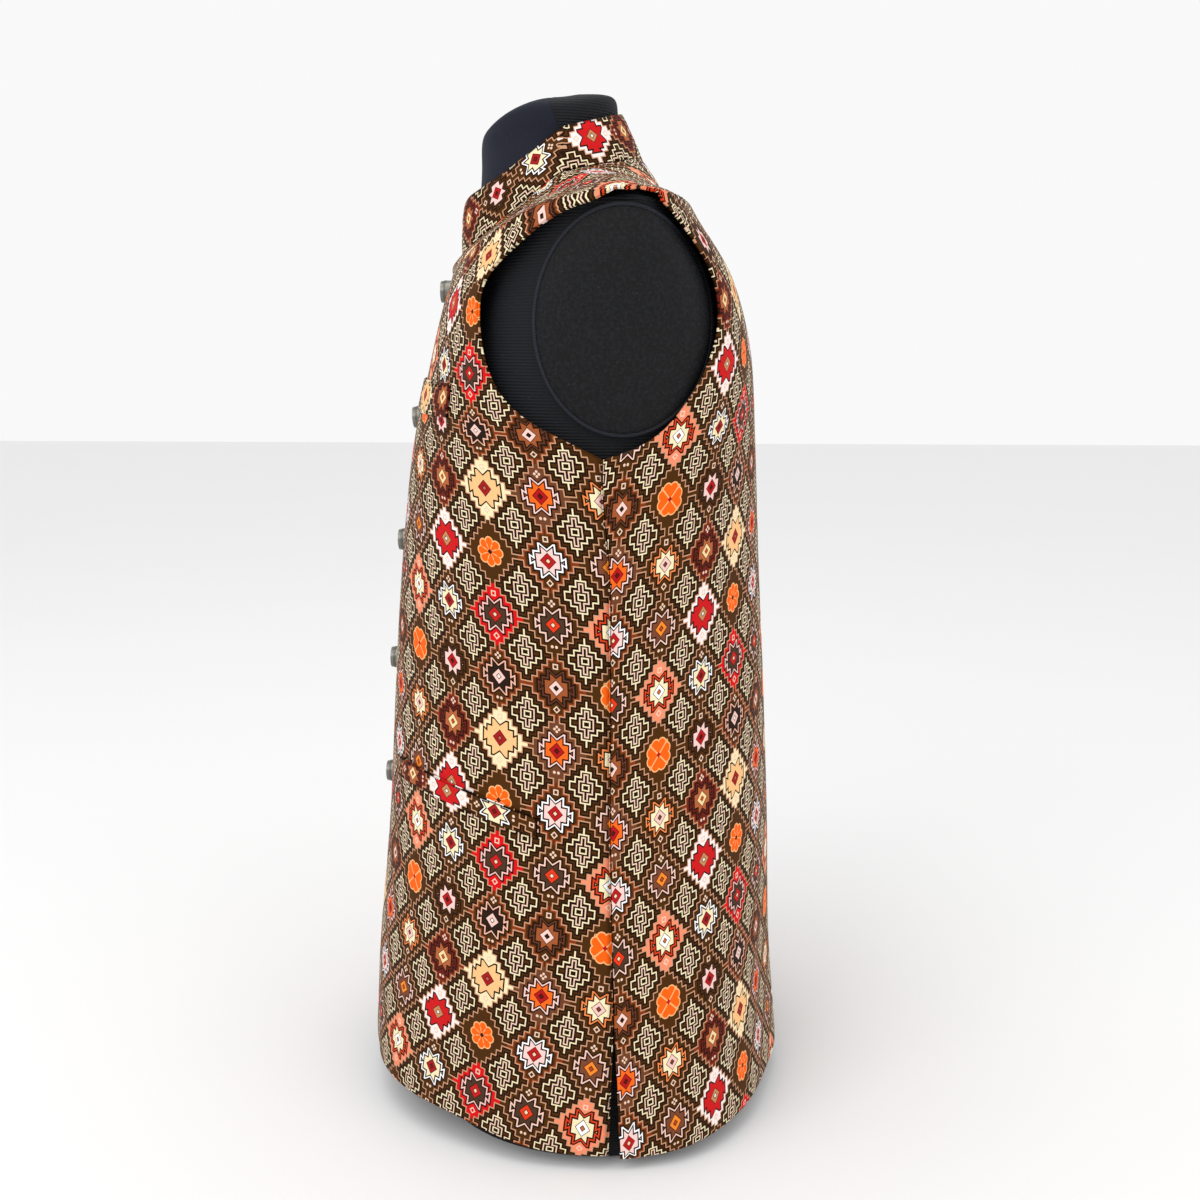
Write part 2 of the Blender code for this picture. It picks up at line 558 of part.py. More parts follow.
def add_plates(jersey):
    """Padded ovals in the armholes of the form, domed, each with a low rim."""
    tree = BVHTree.FromObject(bpy.data.objects["dress_form"], bpy.context.evaluated_depsgraph_get())
    turn = np.linspace(0, 2 * math.pi, PLATE_SIDES, endpoint=False)
    heights = [PLATE_EDGE]
    heights += [PLATE_EDGE + (PLATE_CROWN - PLATE_EDGE) * math.sqrt(1 - share**2) for share in PLATE_STEPS]
    back = []
    for share in PLATE_STEPS[::-1] + (1.0,):
        y = PLATE_MIDDLE_Y + PLATE_HALF_WIDTH * share * np.sin(turn)
        z = PLATE_MIDDLE_Z + PLATE_HALF_HEIGHT * share * np.cos(turn)
        back.append(np.stack([form_side(tree, y, z) + PLATE_SEAT, y, z], axis=-1))
    lift_clear(tree, back)
    middle_x = back[0][:, 0].max()
    face = [layer + np.array([height, 0.0, 0.0]) for layer, height in zip(back[::-1], heights)]
    stack = back + face
    for sign, name in ((1, "arm_plate_left"), (-1, "arm_plate_right")):
        points = np.concatenate(stack + [
            [[middle_x, PLATE_MIDDLE_Y, PLATE_MIDDLE_Z]],
            [[middle_x + PLATE_CROWN, PLATE_MIDDLE_Y, PLATE_MIDDLE_Z]],
        ]) * np.array([sign, 1, 1])
        faces = []
        for layer in range(len(stack) - 1):
            for side in range(PLATE_SIDES):
                following = (side + 1) % PLATE_SIDES
                low = layer * PLATE_SIDES
                high = low + PLATE_SIDES
                faces.append([low + side, low + following, high + following, high + side])
        last = (len(stack) - 1) * PLATE_SIDES
        for side in range(PLATE_SIDES):
            following = (side + 1) % PLATE_SIDES
            faces.append([following, side, len(points) - 2])
            faces.append([last + side, last + following, len(points) - 1])
        mesh_object(name, points, faces, jersey)


def finish(name, colour, roughness, metallic=0.0):
    """A material with one Principled shader."""
    material = bpy.data.materials.new(name)
    material.use_nodes = True
    shader = material.node_tree.nodes["Principled BSDF"]
    shader.inputs["Base Color"].default_value = (*colour, 1.0)
    shader.inputs["Roughness"].default_value = roughness
    shader.inputs["Metallic"].default_value = metallic
    return material


def main():
    """Clears the scene and models the jacket and its form."""
    for thing in list(bpy.data.objects):
        bpy.data.objects.remove(thing)
    cloth = finish("printed_cloth", (0.16, 0.085, 0.045), 0.62)
    jersey = finish("black_jersey", (0.012, 0.012, 0.016), 0.85)
    metal = finish("button_metal", (0.42, 0.36, 0.27), 0.32, 1.0)
    add_form(jersey)
    add_plates(jersey)
    add_panels(cloth)
    add_collar(cloth)
    for welt in (CHEST_WELT, HIP_WELT_LEFT, HIP_WELT_RIGHT):
        add_welt(welt, cloth)
    add_buttons(metal)


main()
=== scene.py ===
"""Looks of a nehru jacket that hangs, buttoned, on a limbless dress form.

Metres, +Z up. The jacket's front faces -Y and the wearer's left is +X. Heights in the tables are
measured from the jacket's hem. The cloth pieces are thin shells on the forms of their solids.
"""
from __future__ import annotations

import logging
import math
from collections.abc import Callable, Sequence
from dataclasses import dataclass
from enum import Enum

import bmesh
import bpy
import numpy as np
from mathutils import Matrix, Vector
from mathutils.bvhtree import BVHTree


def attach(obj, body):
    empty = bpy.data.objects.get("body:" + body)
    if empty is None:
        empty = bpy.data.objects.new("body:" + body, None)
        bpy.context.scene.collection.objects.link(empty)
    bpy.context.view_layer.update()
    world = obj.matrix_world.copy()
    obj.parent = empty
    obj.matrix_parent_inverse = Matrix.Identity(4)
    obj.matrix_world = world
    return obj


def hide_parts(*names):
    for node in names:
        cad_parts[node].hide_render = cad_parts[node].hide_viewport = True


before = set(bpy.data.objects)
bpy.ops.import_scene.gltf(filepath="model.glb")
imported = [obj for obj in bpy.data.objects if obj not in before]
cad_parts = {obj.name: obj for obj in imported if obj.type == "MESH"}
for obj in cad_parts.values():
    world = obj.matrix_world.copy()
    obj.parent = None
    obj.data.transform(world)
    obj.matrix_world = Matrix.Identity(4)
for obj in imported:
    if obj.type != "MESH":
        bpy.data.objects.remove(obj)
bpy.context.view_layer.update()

LOG = logging.getLogger("jacket")
BODY = "root"
SHIFT = np.array([0.0, 0.0008, 0.008])  # from the jacket's own heights to the row's frame
Colour = tuple[float, float, float]


def paint(code: str) -> Colour:
    """Turns a paint code of six hexadecimal digits into linear red, green and blue.

    Args:
        code: Red, green and blue as they look, two digits each.

    Returns:
        The colour as shaders take it.
    """
    shares = [int(code[start:start + 2], 16) / 255 for start in (0, 2, 4)]
    red, green, blue = (s / 12.92 if s <= 0.04045 else ((s + 0.055) / 1.055) ** 2.4 for s in shares)
    return red, green, blue


def eased(part: np.ndarray) -> np.ndarray:
    """Returns a smooth step from 0 to 1."""
    return part * part * (3 - 2 * part)


# ---------------------------------------------------------------- the jacket's shape


@dataclass(frozen=True)
class Ring:
    """Section of the jacket: half width, where its sides lie, reach, squareness, heights, bend."""

    name: str
    wide: float
    middle: float
    front: float
    back: float
    front_square: float
    back_square: float
    front_z: float
    side_z: float
    back_z: float
    bend: float = 2.0


SIZES = (
    "wide", "middle", "front", "back", "front_square", "back_square", "front_z", "side_z", "back_z", "bend",
)

RINGS = (
    Ring("hem", 0.196, 0.020, 0.168, 0.165, 2.20, 2.30, 0.000, 0.000, 0.000),
    Ring("seat", 0.190, 0.020, 0.162, 0.158, 2.20, 2.30, 0.095, 0.095, 0.097),
    Ring("hip", 0.182, 0.018, 0.151, 0.155, 2.20, 2.30, 0.210, 0.210, 0.210),
    Ring("waist", 0.177, 0.018, 0.1435, 0.150, 2.20, 2.40, 0.325, 0.325, 0.325),
    Ring("ribs", 0.179, 0.018, 0.135, 0.144, 2.25, 2.50, 0.420, 0.420, 0.420),
    Ring("armpit", 0.182, 0.020, 0.125, 0.139, 2.25, 2.70, 0.498, 0.500, 0.502),
    Ring("chest", 0.187, 0.026, 0.1120, 0.133, 2.20, 3.30, 0.553, 0.563, 0.571),
    Ring("shoulder_blade", 0.192, 0.034, 0.1025, 0.118, 2.00, 3.60, 0.594, 0.624, 0.618, 1.8),
    Ring("below_point", 0.1918, 0.0436, 0.0975, 0.0947, 1.86, 2.64, 0.6117, 0.6675, 0.644, 1.6),
    Ring("shoulder_point", 0.190, 0.044, 0.0970, 0.091, 1.84, 2.50, 0.614, 0.6745, 0.648, 1.55),
    Ring("shoulder_edge", 0.1835, 0.0434, 0.0966, 0.0867, 1.84, 2.37, 0.6168, 0.6767, 0.6532, 1.5),
    Ring("shoulder", 0.151, 0.034, 0.0952, 0.073, 1.85, 2.10, 0.6250, 0.6835, 0.672, 1.4),
    Ring("neck_slope", 0.110, 0.018, 0.0950, 0.0640, 1.90, 2.00, 0.6325, 0.690, 0.692, 1.2),
    Ring("neck", 0.074, -0.005, 0.0878, 0.0505, 2.00, 2.00, 0.6410, 0.6965, 0.7125, 1.05),
)
PLACES = (0.0, 1.0, 2.0, 3.0, 4.0, 5.0, 6.0, 7.0, 7.85, 8.0, 8.2, 9.0, 10.0, 11.0)
COLLAR_TOP = Ring("collar_top", 0.0625, -0.005, 0.0868, 0.0350, 2.00, 2.00, 0.6815, 0.7295, 0.7455, 1.05)
NECK_RINGS = (
    Ring("neck_root", 0.0600, -0.018, 0.0740, 0.0345, 2.0, 2.0, 0.674, 0.702, 0.714),
    Ring("neck_middle", 0.0560, -0.020, 0.0720, 0.0310, 2.0, 2.0, 0.702, 0.723, 0.734),
    Ring("neck_top", 0.0550, -0.020, 0.0715, 0.0315, 2.0, 2.0, 0.7235, 0.737, 0.747),
    Ring("cap_edge", 0.0520, -0.020, 0.0670, 0.0295, 2.0, 2.0, 0.7305, 0.7455, 0.756),
    Ring("cap", 0.0400, -0.019, 0.0520, 0.0215, 2.0, 2.0, 0.7365, 0.7510, 0.759),
    Ring("crown", 0.0200, -0.015, 0.0300, 0.0050, 2.0, 2.0, 0.7470, 0.7555, 0.7600),
)
ARMPIT = 5
SHOULDER_POINT = 8
NECK = 11

# The armhole's edge, up its front and up its back: height, and degrees from the centre front
ARMHOLE_FRONT = (
    (0.500, 93.0), (0.5235, 77.5), (0.5424, 69.4), (0.5700, 63.1), (0.6035, 58.9),
    (0.6210, 60.2), (0.6390, 67.3), (0.6585, 77.0), (0.6690, 86.0), (0.6745, 93.0),
)
ARMHOLE_BACK = (
    (0.500, 93.0), (0.508, 100.0), (0.520, 105.5), (0.537, 109.5), (0.559, 113.0),
    (0.583, 115.3), (0.608, 114.5), (0.6295, 110.5), (0.652, 103.5), (0.669, 97.0), (0.6745, 93.0),
)


@dataclass(frozen=True)
class Fold:
    """Soft ridge or trough: its middle, reach either way, lean and how far it stands out."""

    name: str
    angle: float
    height: float
    spread: float
    reach: float
    lean: float
    rise: float


FOLDS = (
    Fold("left waist hollow", 50.0, 0.400, 17.0, 0.110, -60.0, -0.0028),
    Fold("left hip roll", 72.0, 0.200, 12.0, 0.120, -40.0, 0.0022),
    Fold("left armpit drag", 66.0, 0.470, 9.0, 0.040, 160.0, -0.0022),
    Fold("left skirt roll", 34.0, 0.060, 14.0, 0.085, -50.0, 0.0030),
    Fold("left skirt hollow", 60.0, 0.040, 11.0, 0.080, -40.0, -0.0026),
    Fold("left back waist", 122.0, 0.360, 14.0, 0.120, 50.0, -0.0032),
    Fold("left back skirt", 113.0, 0.055, 10.0, 0.090, 30.0, 0.0030),
    Fold("centre back hollow", 176.0, 0.380, 16.0, 0.150, 0.0, -0.0030),
    Fold("back skirt hollow", 148.0, 0.060, 13.0, 0.100, 20.0, -0.0030),
    Fold("right back skirt", -128.0, 0.060, 13.0, 0.090, -30.0, 0.0028),
    Fold("right back waist", -125.0, 0.350, 15.0, 0.110, -40.0, -0.0030),
    Fold("right hip roll", -76.0, 0.190, 13.0, 0.110, 30.0, 0.0024),
    Fold("right waist hollow", -46.0, 0.390, 16.0, 0.120, 70.0, -0.0026),
    Fold("right armpit drag", -67.0, 0.468, 9.0, 0.045, -150.0, -0.0020),
    Fold("right skirt roll", -38.0, 0.055, 14.0, 0.080, 40.0, 0.0028),
    # finer creases, which the solids leave out
    Fold("drag from the armpit forwards", 74.0, 0.455, 3.2, 0.050, 240.0, -0.0013),
    Fold("ridge beside it", 68.0, 0.440, 2.6, 0.045, 260.0, 0.0010),
    Fold("short drag below", 80.0, 0.420, 3.0, 0.032, 200.0, -0.0010),
    Fold("drag from the armpit backwards", 109.0, 0.452, 3.4, 0.055, -230.0, -0.0014),
    Fold("ridge over the blade", 118.0, 0.500, 3.6, 0.060, -120.0, 0.0012),
    Fold("second back drag", 126.0, 0.430, 4.2, 0.070, -150.0, -0.0012),
    Fold("slack above the welt", 58.0, 0.285, 8.0, 0.022, 0.0, 0.0014),
    Fold("slack below the welt", 52.0, 0.212, 9.0, 0.016, 0.0, -0.0009),
    Fold("wave at the left vent", 84.0, 0.050, 4.0, 0.060, -30.0, -0.0014),
    Fold("wave behind the vent", 104.0, 0.040, 3.6, 0.050, 25.0, -0.0012),
    Fold("hem wave in front", 22.0, 0.030, 5.0, 0.045, -20.0, -0.0012),
    Fold("collar pull left", 40.0, 0.640, 6.0, 0.012, 300.0, -0.0008),
    Fold("shoulder dip left", 84.0, 0.672, 7.0, 0.010, 0.0, -0.0006),
    Fold("pull at the second button", 6.0, 0.520, 4.0, 0.012, 220.0, -0.0008),
    Fold("pull at the third button", 8.0, 0.418, 4.5, 0.014, 180.0, -0.0009),
    Fold("pull at the fourth button", 9.0, 0.318, 5.0, 0.013, -200.0, -0.0009),
    Fold("right pull at the third button", -9.0, 0.424, 4.5, 0.013, -190.0, -0.0009),
    Fold("right drag forwards", -75.0, 0.450, 3.4, 0.052, -230.0, -0.0013),
    Fold("right drag backwards", -110.0, 0.455, 3.3, 0.050, 220.0, -0.0013),
    Fold("right blade ridge", -119.0, 0.505, 3.8, 0.055, 130.0, 0.0011),
    Fold("right slack above the welt", -56.0, 0.288, 7.5, 0.024, 0.0, 0.0013),
    Fold("right hem wave", -58.0, 0.035, 6.0, 0.050, 30.0, -0.0013),
    Fold("right vent wave", -85.0, 0.050, 4.0, 0.055, 25.0, -0.0013),
    Fold("back yoke wave", 160.0, 0.560, 9.0, 0.025, 60.0, -0.0010),
    Fold("right yoke wave", -158.0, 0.552, 8.0, 0.028, -70.0, -0.0011),
    Fold("waist break left", 140.0, 0.330, 10.0, 0.018, 30.0, 0.0012),
    Fold("waist break right", -144.0, 0.345, 11.0, 0.016, -35.0, 0.0011),
    Fold("back hem wave", 168.0, 0.030, 6.0, 0.055, 15.0, 0.0014),
    Fold("back hem hollow", -166.0, 0.030, 6.0, 0.060, -10.0, -0.0014),
)


def along(values: Sequence[float], place: np.ndarray) -> np.ndarray:
    """Finds values at places along a row of values, on a smooth curve through all of them.

    Args:
        values: The row.
        place: Places, where 0 is the first value, 1 the next and so on.

    Returns:
        The values there.
    """
    row = np.asarray(values, float)
    at = np.asarray(place, float)
    last = len(row) - 1
    start = np.clip(np.floor(at).astype(int), 0, last - 1)
    part = at - start
    before, low, high = row[np.maximum(start - 1, 0)], row[start], row[start + 1]
    after = row[np.minimum(start + 2, last)]
    square, cube = part * part, part * part * part
    return (
        low * (2 * cube - 3 * square + 1)
        + (high - before) / 2 * (cube - 2 * square + part)
        + high * (3 * square - 2 * cube)
        + (after - low) / 2 * (cube - square)
    )


class Skin:
    """Surface through a row of rings, with folds on it."""

    def __init__(
        self, rings: Sequence[Ring], folds: Sequence[Fold] = (), places: Sequence[float] | None = None,
    ) -> None:
        """Keeps what the surface is made from.

        Args:
            rings: The rings, the lowest first.
            folds: The folds.
            places: Each ring's place, whole numbers if none are given.
        """
        self.rings = rings
        self.folds = folds
        self.places = np.arange(len(rings)) if places is None else np.array(places)

    def smooth(self, angle: np.ndarray, place: np.ndarray) -> np.ndarray:
        """Finds points of the surface without its folds.

        Args:
            angle: Degrees from the centre front towards the wearer's left.
            place: Places along the rings.

        Returns:
            The points, one more dimension than the arguments.
        """
        turn = np.radians(angle)
        side, ahead = np.sin(turn), np.cos(turn)
        at = np.interp(place, self.places, np.arange(len(self.rings)))
        size = {name: along([getattr(ring, name) for ring in self.rings], at) for name in SIZES}
        in_front = ahead > 0
        depth = np.where(in_front, size["front"] + size["middle"], size["back"] - size["middle"])
        square = np.where(in_front, size["front_square"], size["back_square"])
        reach = (np.abs(side / size["wide"]) ** square + np.abs(ahead / depth) ** square) ** (-1 / square)
        end_z = np.where(in_front, size["front_z"], size["back_z"])
        height = size["side_z"] + (end_z - size["side_z"]) * np.abs(ahead) ** size["bend"]
        return np.stack([reach * side, size["middle"] - reach * ahead, height], axis=-1)

    def normal(self, angle: np.ndarray, place: np.ndarray) -> np.ndarray:
        """Finds unit normals that point away from the wearer.

        Args:
            angle: Degrees from the centre front.
            place: Places along the rings.

        Returns:
            The normals.
        """
        turn, step = 0.5, 0.02
        across = self.smooth(angle + turn, place) - self.smooth(angle - turn, place)
        high = np.clip(place + step, 0, self.places[-1])
        low = np.clip(place - step, 0, self.places[-1])
        out = np.cross(across, self.smooth(angle, high) - self.smooth(angle, low))
        return out / np.linalg.norm(out, axis=-1, keepdims=True)

    def rise(self, angle: np.ndarray, height: np.ndarray) -> np.ndarray:
        """Finds how far the folds lift the cloth.

        Args:
            angle: Degrees from the centre front.
            height: Metres above the hem.

        Returns:
            The lift in metres.
        """
        total = np.zeros(np.broadcast(angle, height).shape)
        for fold in self.folds:
            off = (angle - fold.angle - fold.lean * (height - fold.height) + 180) % 360 - 180
            far = (off / fold.spread) ** 2 + ((height - fold.height) / fold.reach) ** 2
            total += fold.rise * np.exp(-far)
        return total

    def cloth(self, angle: np.ndarray, place: np.ndarray) -> np.ndarray:
        """Finds points of the surface with its folds.

        Args:
            angle: Degrees from the centre front.
            place: Places along the rings.

        Returns:
            The points.
        """
        points = self.smooth(angle, place)
        return points + self.normal(angle, place) * self.rise(angle, points[..., 2])[..., None]

    def place_at(self, angle: float, height: float) -> float:
        """Finds the place along the rings where the surface has a height.

        Args:
            angle: Degrees from the centre front.
            height: Metres above the hem.

        Returns:
            The place.
        """
        places = np.linspace(0, self.places[-1], 600)
        return float(np.interp(height, self.smooth(np.full(600, float(angle)), places)[:, 2], places))

    def angle_at(self, x: float, place: float) -> float:
        """Finds the angle near the centre front where the surface has an x.

        Args:
            x: Metres towards the wearer's left.
            place: Place along the rings.

        Returns:
            The angle in degrees.
        """
        angles = np.linspace(-30, 30, 400)
        return float(np.interp(x, self.smooth(angles, np.full(400, float(place)))[:, 0], angles))


JACKET = Skin(RINGS, FOLDS, PLACES)


# ---------------------------------------------------------------- shaders


class Wire:
    """A number in a shader, socket or constant, that arithmetic can be written with."""

    def __init__(self, bench: Bench, value: bpy.types.NodeSocket | float) -> None:
        """Keeps the bench that makes nodes, and the socket or constant."""
        self.bench = bench
        self.value = value

    def op(self, kind: str, *others: Wire | float) -> Wire:
        """Adds a Math node with this as its first value.

        Args:
            kind: The node's operation.
            others: Its further values.

        Returns:
            The node's result.
        """
        sockets = dict(enumerate((self, *others)))
        return Wire(self.bench, self.bench.node("ShaderNodeMath", {"operation": kind}, sockets).outputs[0])

    def __add__(self, other: Wire | float) -> Wire:
        """Returns the sum."""
        return self.op("ADD", other)

    __radd__ = __add__

    def __sub__(self, other: Wire | float) -> Wire:
        """Returns the difference."""
        return self.op("SUBTRACT", other)

    def __rsub__(self, other: float) -> Wire:
        """Returns the other less this."""
        return Wire(self.bench, other).op("SUBTRACT", self)

    def __mul__(self, other: Wire | float) -> Wire:
        """Returns the product."""
        return self.op("MULTIPLY", other)

    __rmul__ = __mul__

    def __truediv__(self, other: Wire | float) -> Wire:
        """Returns the quotient."""
        return self.op("DIVIDE", other)

    def __lt__(self, other: Wire | float) -> Wire:
        """Returns 1 where this is less, else 0."""
        return self.op("LESS_THAN", other)

    def __gt__(self, other: Wire | float) -> Wire:
        """Returns 1 where this is more, else 0."""
        return self.op("GREATER_THAN", other)

    def __mod__(self, other: float) -> Wire:
        """Returns what is left after whole multiples, never negative."""
        return self.op("FLOORED_MODULO", other)

    def __abs__(self) -> Wire:
        """Returns the size without its sign."""
        return self.op("ABSOLUTE")

    def floor(self) -> Wire:
        """Returns the whole number below."""
        return self.op("FLOOR")

    def ceil(self) -> Wire:
        """Returns the whole number above."""
        return self.op("CEIL")

    def least(self, other: Wire | float) -> Wire:
        """Returns the lesser of the two."""
        return self.op("MINIMUM", other)

    def most(self, other: Wire | float) -> Wire:
        """Returns the greater of the two."""
        return self.op("MAXIMUM", other)

    def sin(self) -> Wire:
        """Returns the sine."""
        return self.op("SINE")

    def far(self, other: Wire) -> Wire:
        """Returns the length of the two as sides of a right angle."""
        return (self * self + other * other).op("SQRT")


class Bench:
    """Makes the nodes of one material."""

    def __init__(self, name: str) -> None:
        """Starts a material with nothing but its output.

        Args:
            name: The material's name.
        """
        self.material = bpy.data.materials.new(name)
        self.material.use_nodes = True
        self.tree = self.material.node_tree
        self.tree.nodes.clear()
        self.output = self.node("ShaderNodeOutputMaterial")

    def node(
        self,
        kind: str,
        settings: dict[str, object] | None = None,
        sockets: dict[str | int, object] | None = None,
    ) -> bpy.types.Node:
        """Adds a node.

        Args:
            kind: Its type.
            settings: Its settings, and for a ramp its "stops", which are places with their colours,
                and its "steps", which is how it goes from one to the next.
            sockets: Values or links for its inputs, by name or number.

        Returns:
            The node.
        """
        made = self.tree.nodes.new(kind)
        for key, value in (settings or {}).items():
            if key == "stops":
                self.fill_ramp(made.color_ramp, value)
            elif key == "steps":
                made.color_ramp.interpolation = value
            else:
                setattr(made, key, value)
        for key, value in (sockets or {}).items():
            source = value.value if isinstance(value, Wire) else value
            if isinstance(source, bpy.types.NodeSocket):
                self.tree.links.new(source, made.inputs[key])
            else:
                made.inputs[key].default_value = source
        return made

    @staticmethod
    def fill_ramp(ramp: bpy.types.ColorRamp, stops: Sequence[tuple[float, Colour]]) -> None:
        """Gives a ramp its stops.

        Args:
            ramp: The ramp.
            stops: Places from 0 up, in order, each with its colour.
        """
        ramp.elements[1].position = stops[1][0]
        for place, _ in stops[2:]:
            ramp.elements.new(place)
        for element, (_, colour) in zip(ramp.elements, stops):
            element.color = (*colour, 1.0)

    def wire(self, value: bpy.types.NodeSocket | float) -> Wire:
        """Wraps a socket or a constant."""
        return Wire(self, value)

    def place(self, output: str) -> tuple[Wire, Wire, Wire]:
        """Gets the three parts of a texture coordinate.

        Args:
            output: "UV" or "Object".

        Returns:
            Its parts.
        """
        source = self.node("ShaderNodeTexCoord").outputs[output]
        parts = self.node("ShaderNodeSeparateXYZ", {}, {0: source}).outputs
        return self.wire(parts[0]), self.wire(parts[1]), self.wire(parts[2])

    def blend(self, share: Wire, first: object, second: object) -> bpy.types.NodeSocket:
        """Mixes two colours.

        Args:
            share: 0 for the first, 1 for the second.
            first: Colour or socket.
            second: Colour or socket.

        Returns:
            The mixed colour's socket.
        """
        ready = [(*value, 1.0) if isinstance(value, tuple) else value for value in (first, second)]
        mix = self.node("ShaderNodeMix", {"data_type": "RGBA"}, {0: share, 6: ready[0], 7: ready[1]})
        return mix.outputs[2]

    def layers(self, ground: object, *layers: tuple[Wire, object]) -> bpy.types.NodeSocket:
        """Lays colours over a ground, each where its mask is 1.

        Args:
            ground: The lowest colour.
            layers: Masks with their colours, the lowest first.

        Returns:
            The colour's socket.
        """
        top = ground
        for mask, colour in layers:
            top = self.blend(mask, top, colour)
        return top

    def pick(self, colours: Sequence[Colour], place: Wire) -> bpy.types.NodeSocket:
        """Picks one of several colours.

        Args:
            colours: The colours.
            place: From 0 to 1 along them.

        Returns:
            The picked colour's socket.
        """
        stops = [(number / len(colours), colour) for number, colour in enumerate(colours)]
        settings = {"steps": "CONSTANT", "stops": stops}
        return self.node("ShaderNodeValToRGB", settings, {0: place}).outputs[0]

    def noise(self, scale: float, detail: float = 2.0) -> Wire:
        """Adds a noise that follows the piece.

        Args:
            scale: Its scale.
            detail: Its octaves.

        Returns:
            A number about 0.5.
        """
        source = self.node("ShaderNodeTexCoord").outputs["Object"]
        sockets = {"Vector": source, "Scale": scale, "Detail": detail}
        return self.wire(self.node("ShaderNodeTexNoise", {}, sockets).outputs[0])

    def finish(
        self, sockets: dict[str, object], bump: Wire | None = None, depth: float = 0.0,
    ) -> bpy.types.Material:
        """Adds the main shader.

        Args:
            sockets: Its values and links.
            bump: A height, or nothing.
            depth: What the height's 1 is in metres.

        Returns:
            The material.
        """
        if bump is not None:
            relief = self.node("ShaderNodeBump", {}, {"Height": bump, "Distance": depth, "Strength": 1.0})
            sockets = {**sockets, "Normal": relief.outputs[0]}
        shader = self.node("ShaderNodeBsdfPrincipled", {}, sockets)
        self.tree.links.new(shader.outputs[0], self.output.inputs[0])
        return self.material


class Kind(Enum):
    """What stands in the middle of a star cell."""

    STAR = 0.0
    PETALS = 0.5
    HEARTS = 1.0


BROWN = paint("4B2B0B")
DARK = paint("240F02")
TAN = paint("CC9875")


@dataclass(frozen=True)
class Motif:
    """Star cell of the print and its colours; a cell with no field of its own has the ground's."""

    kind: Kind
    field: Colour
    band: Colour
    outline: Colour
    star: Colour
    diamond: Colour
    centre: Colour


def motif(kind: Kind, *codes: str) -> Motif:
    """Makes a motif from paint codes, where an empty one is the ground's brown."""
    return Motif(kind, *(paint(code) if code else BROWN for code in codes))


# Four rows upwards, each of four columns towards the wearer's left. The codes of each motif are
# those of its field, band, outline, star, diamond and centre.
MOTIFS = (
    motif(Kind.STAR, "", "8A3A18", "5F3626", "A2562E", "F6CFC4", "24160F"),
    motif(Kind.HEARTS, "", "", "FFB678", "FF6412", "B01A1C", "B01A1C"),
    motif(Kind.STAR, "", "", "", "F7CFC8", "B3161B", "4A1410"),
    motif(Kind.STAR, "", "8F3C1A", "F0B9A2", "2B1A13", "F2CBC0", "F7E6DA"),
    motif(Kind.STAR, "", "", "F6CDBD", "4A3526", "E8391A", "F6D7B4"),
    motif(Kind.STAR, "F7906C", "F7906C", "D9401F", "FBE9BE", "FFFFFF", "C96A3A"),
    motif(Kind.STAR, "", "", "FFFFFF", "FBE9BE", "A51C20", "7A1414"),
    motif(Kind.STAR, "DB1018", "DB1018", "F7C6BC", "4A3526", "C81E1E", "F6D7B4"),
    motif(Kind.STAR, "", "8A3A18", "FFFFFF", "F9D2CB", "BC1A1C", "F6D7B4"),
    motif(Kind.STAR, "", "", "F6CDBD", "7A4630", "F58A2C", "B5432A"),
    motif(Kind.STAR, "FCEEEA", "FCEEEA", "CF1A1E", "CF1A1E", "C88A5C", "F7F0E4"),
    motif(Kind.PETALS, "", "", "FFB678", "FF6412", "3A1A10", "3A1A10"),
    motif(Kind.STAR, "6E4028", "6E4028", "F9D2CB", "FF6A1E", "B3161B", "5A1410"),
    motif(Kind.STAR, "", "", "F58A4C", "FBE9BE", "F4C9BE", "7A3A2C"),
    motif(Kind.STAR, "6A1E16", "8A3A18", "6A1E16", "B5633A", "FBD9A0", "C8521E"),
    motif(Kind.STAR, "FBE6B8", "FBE6B8", "FFC487", "FFC487", "A51C20", "C0604A"),
)


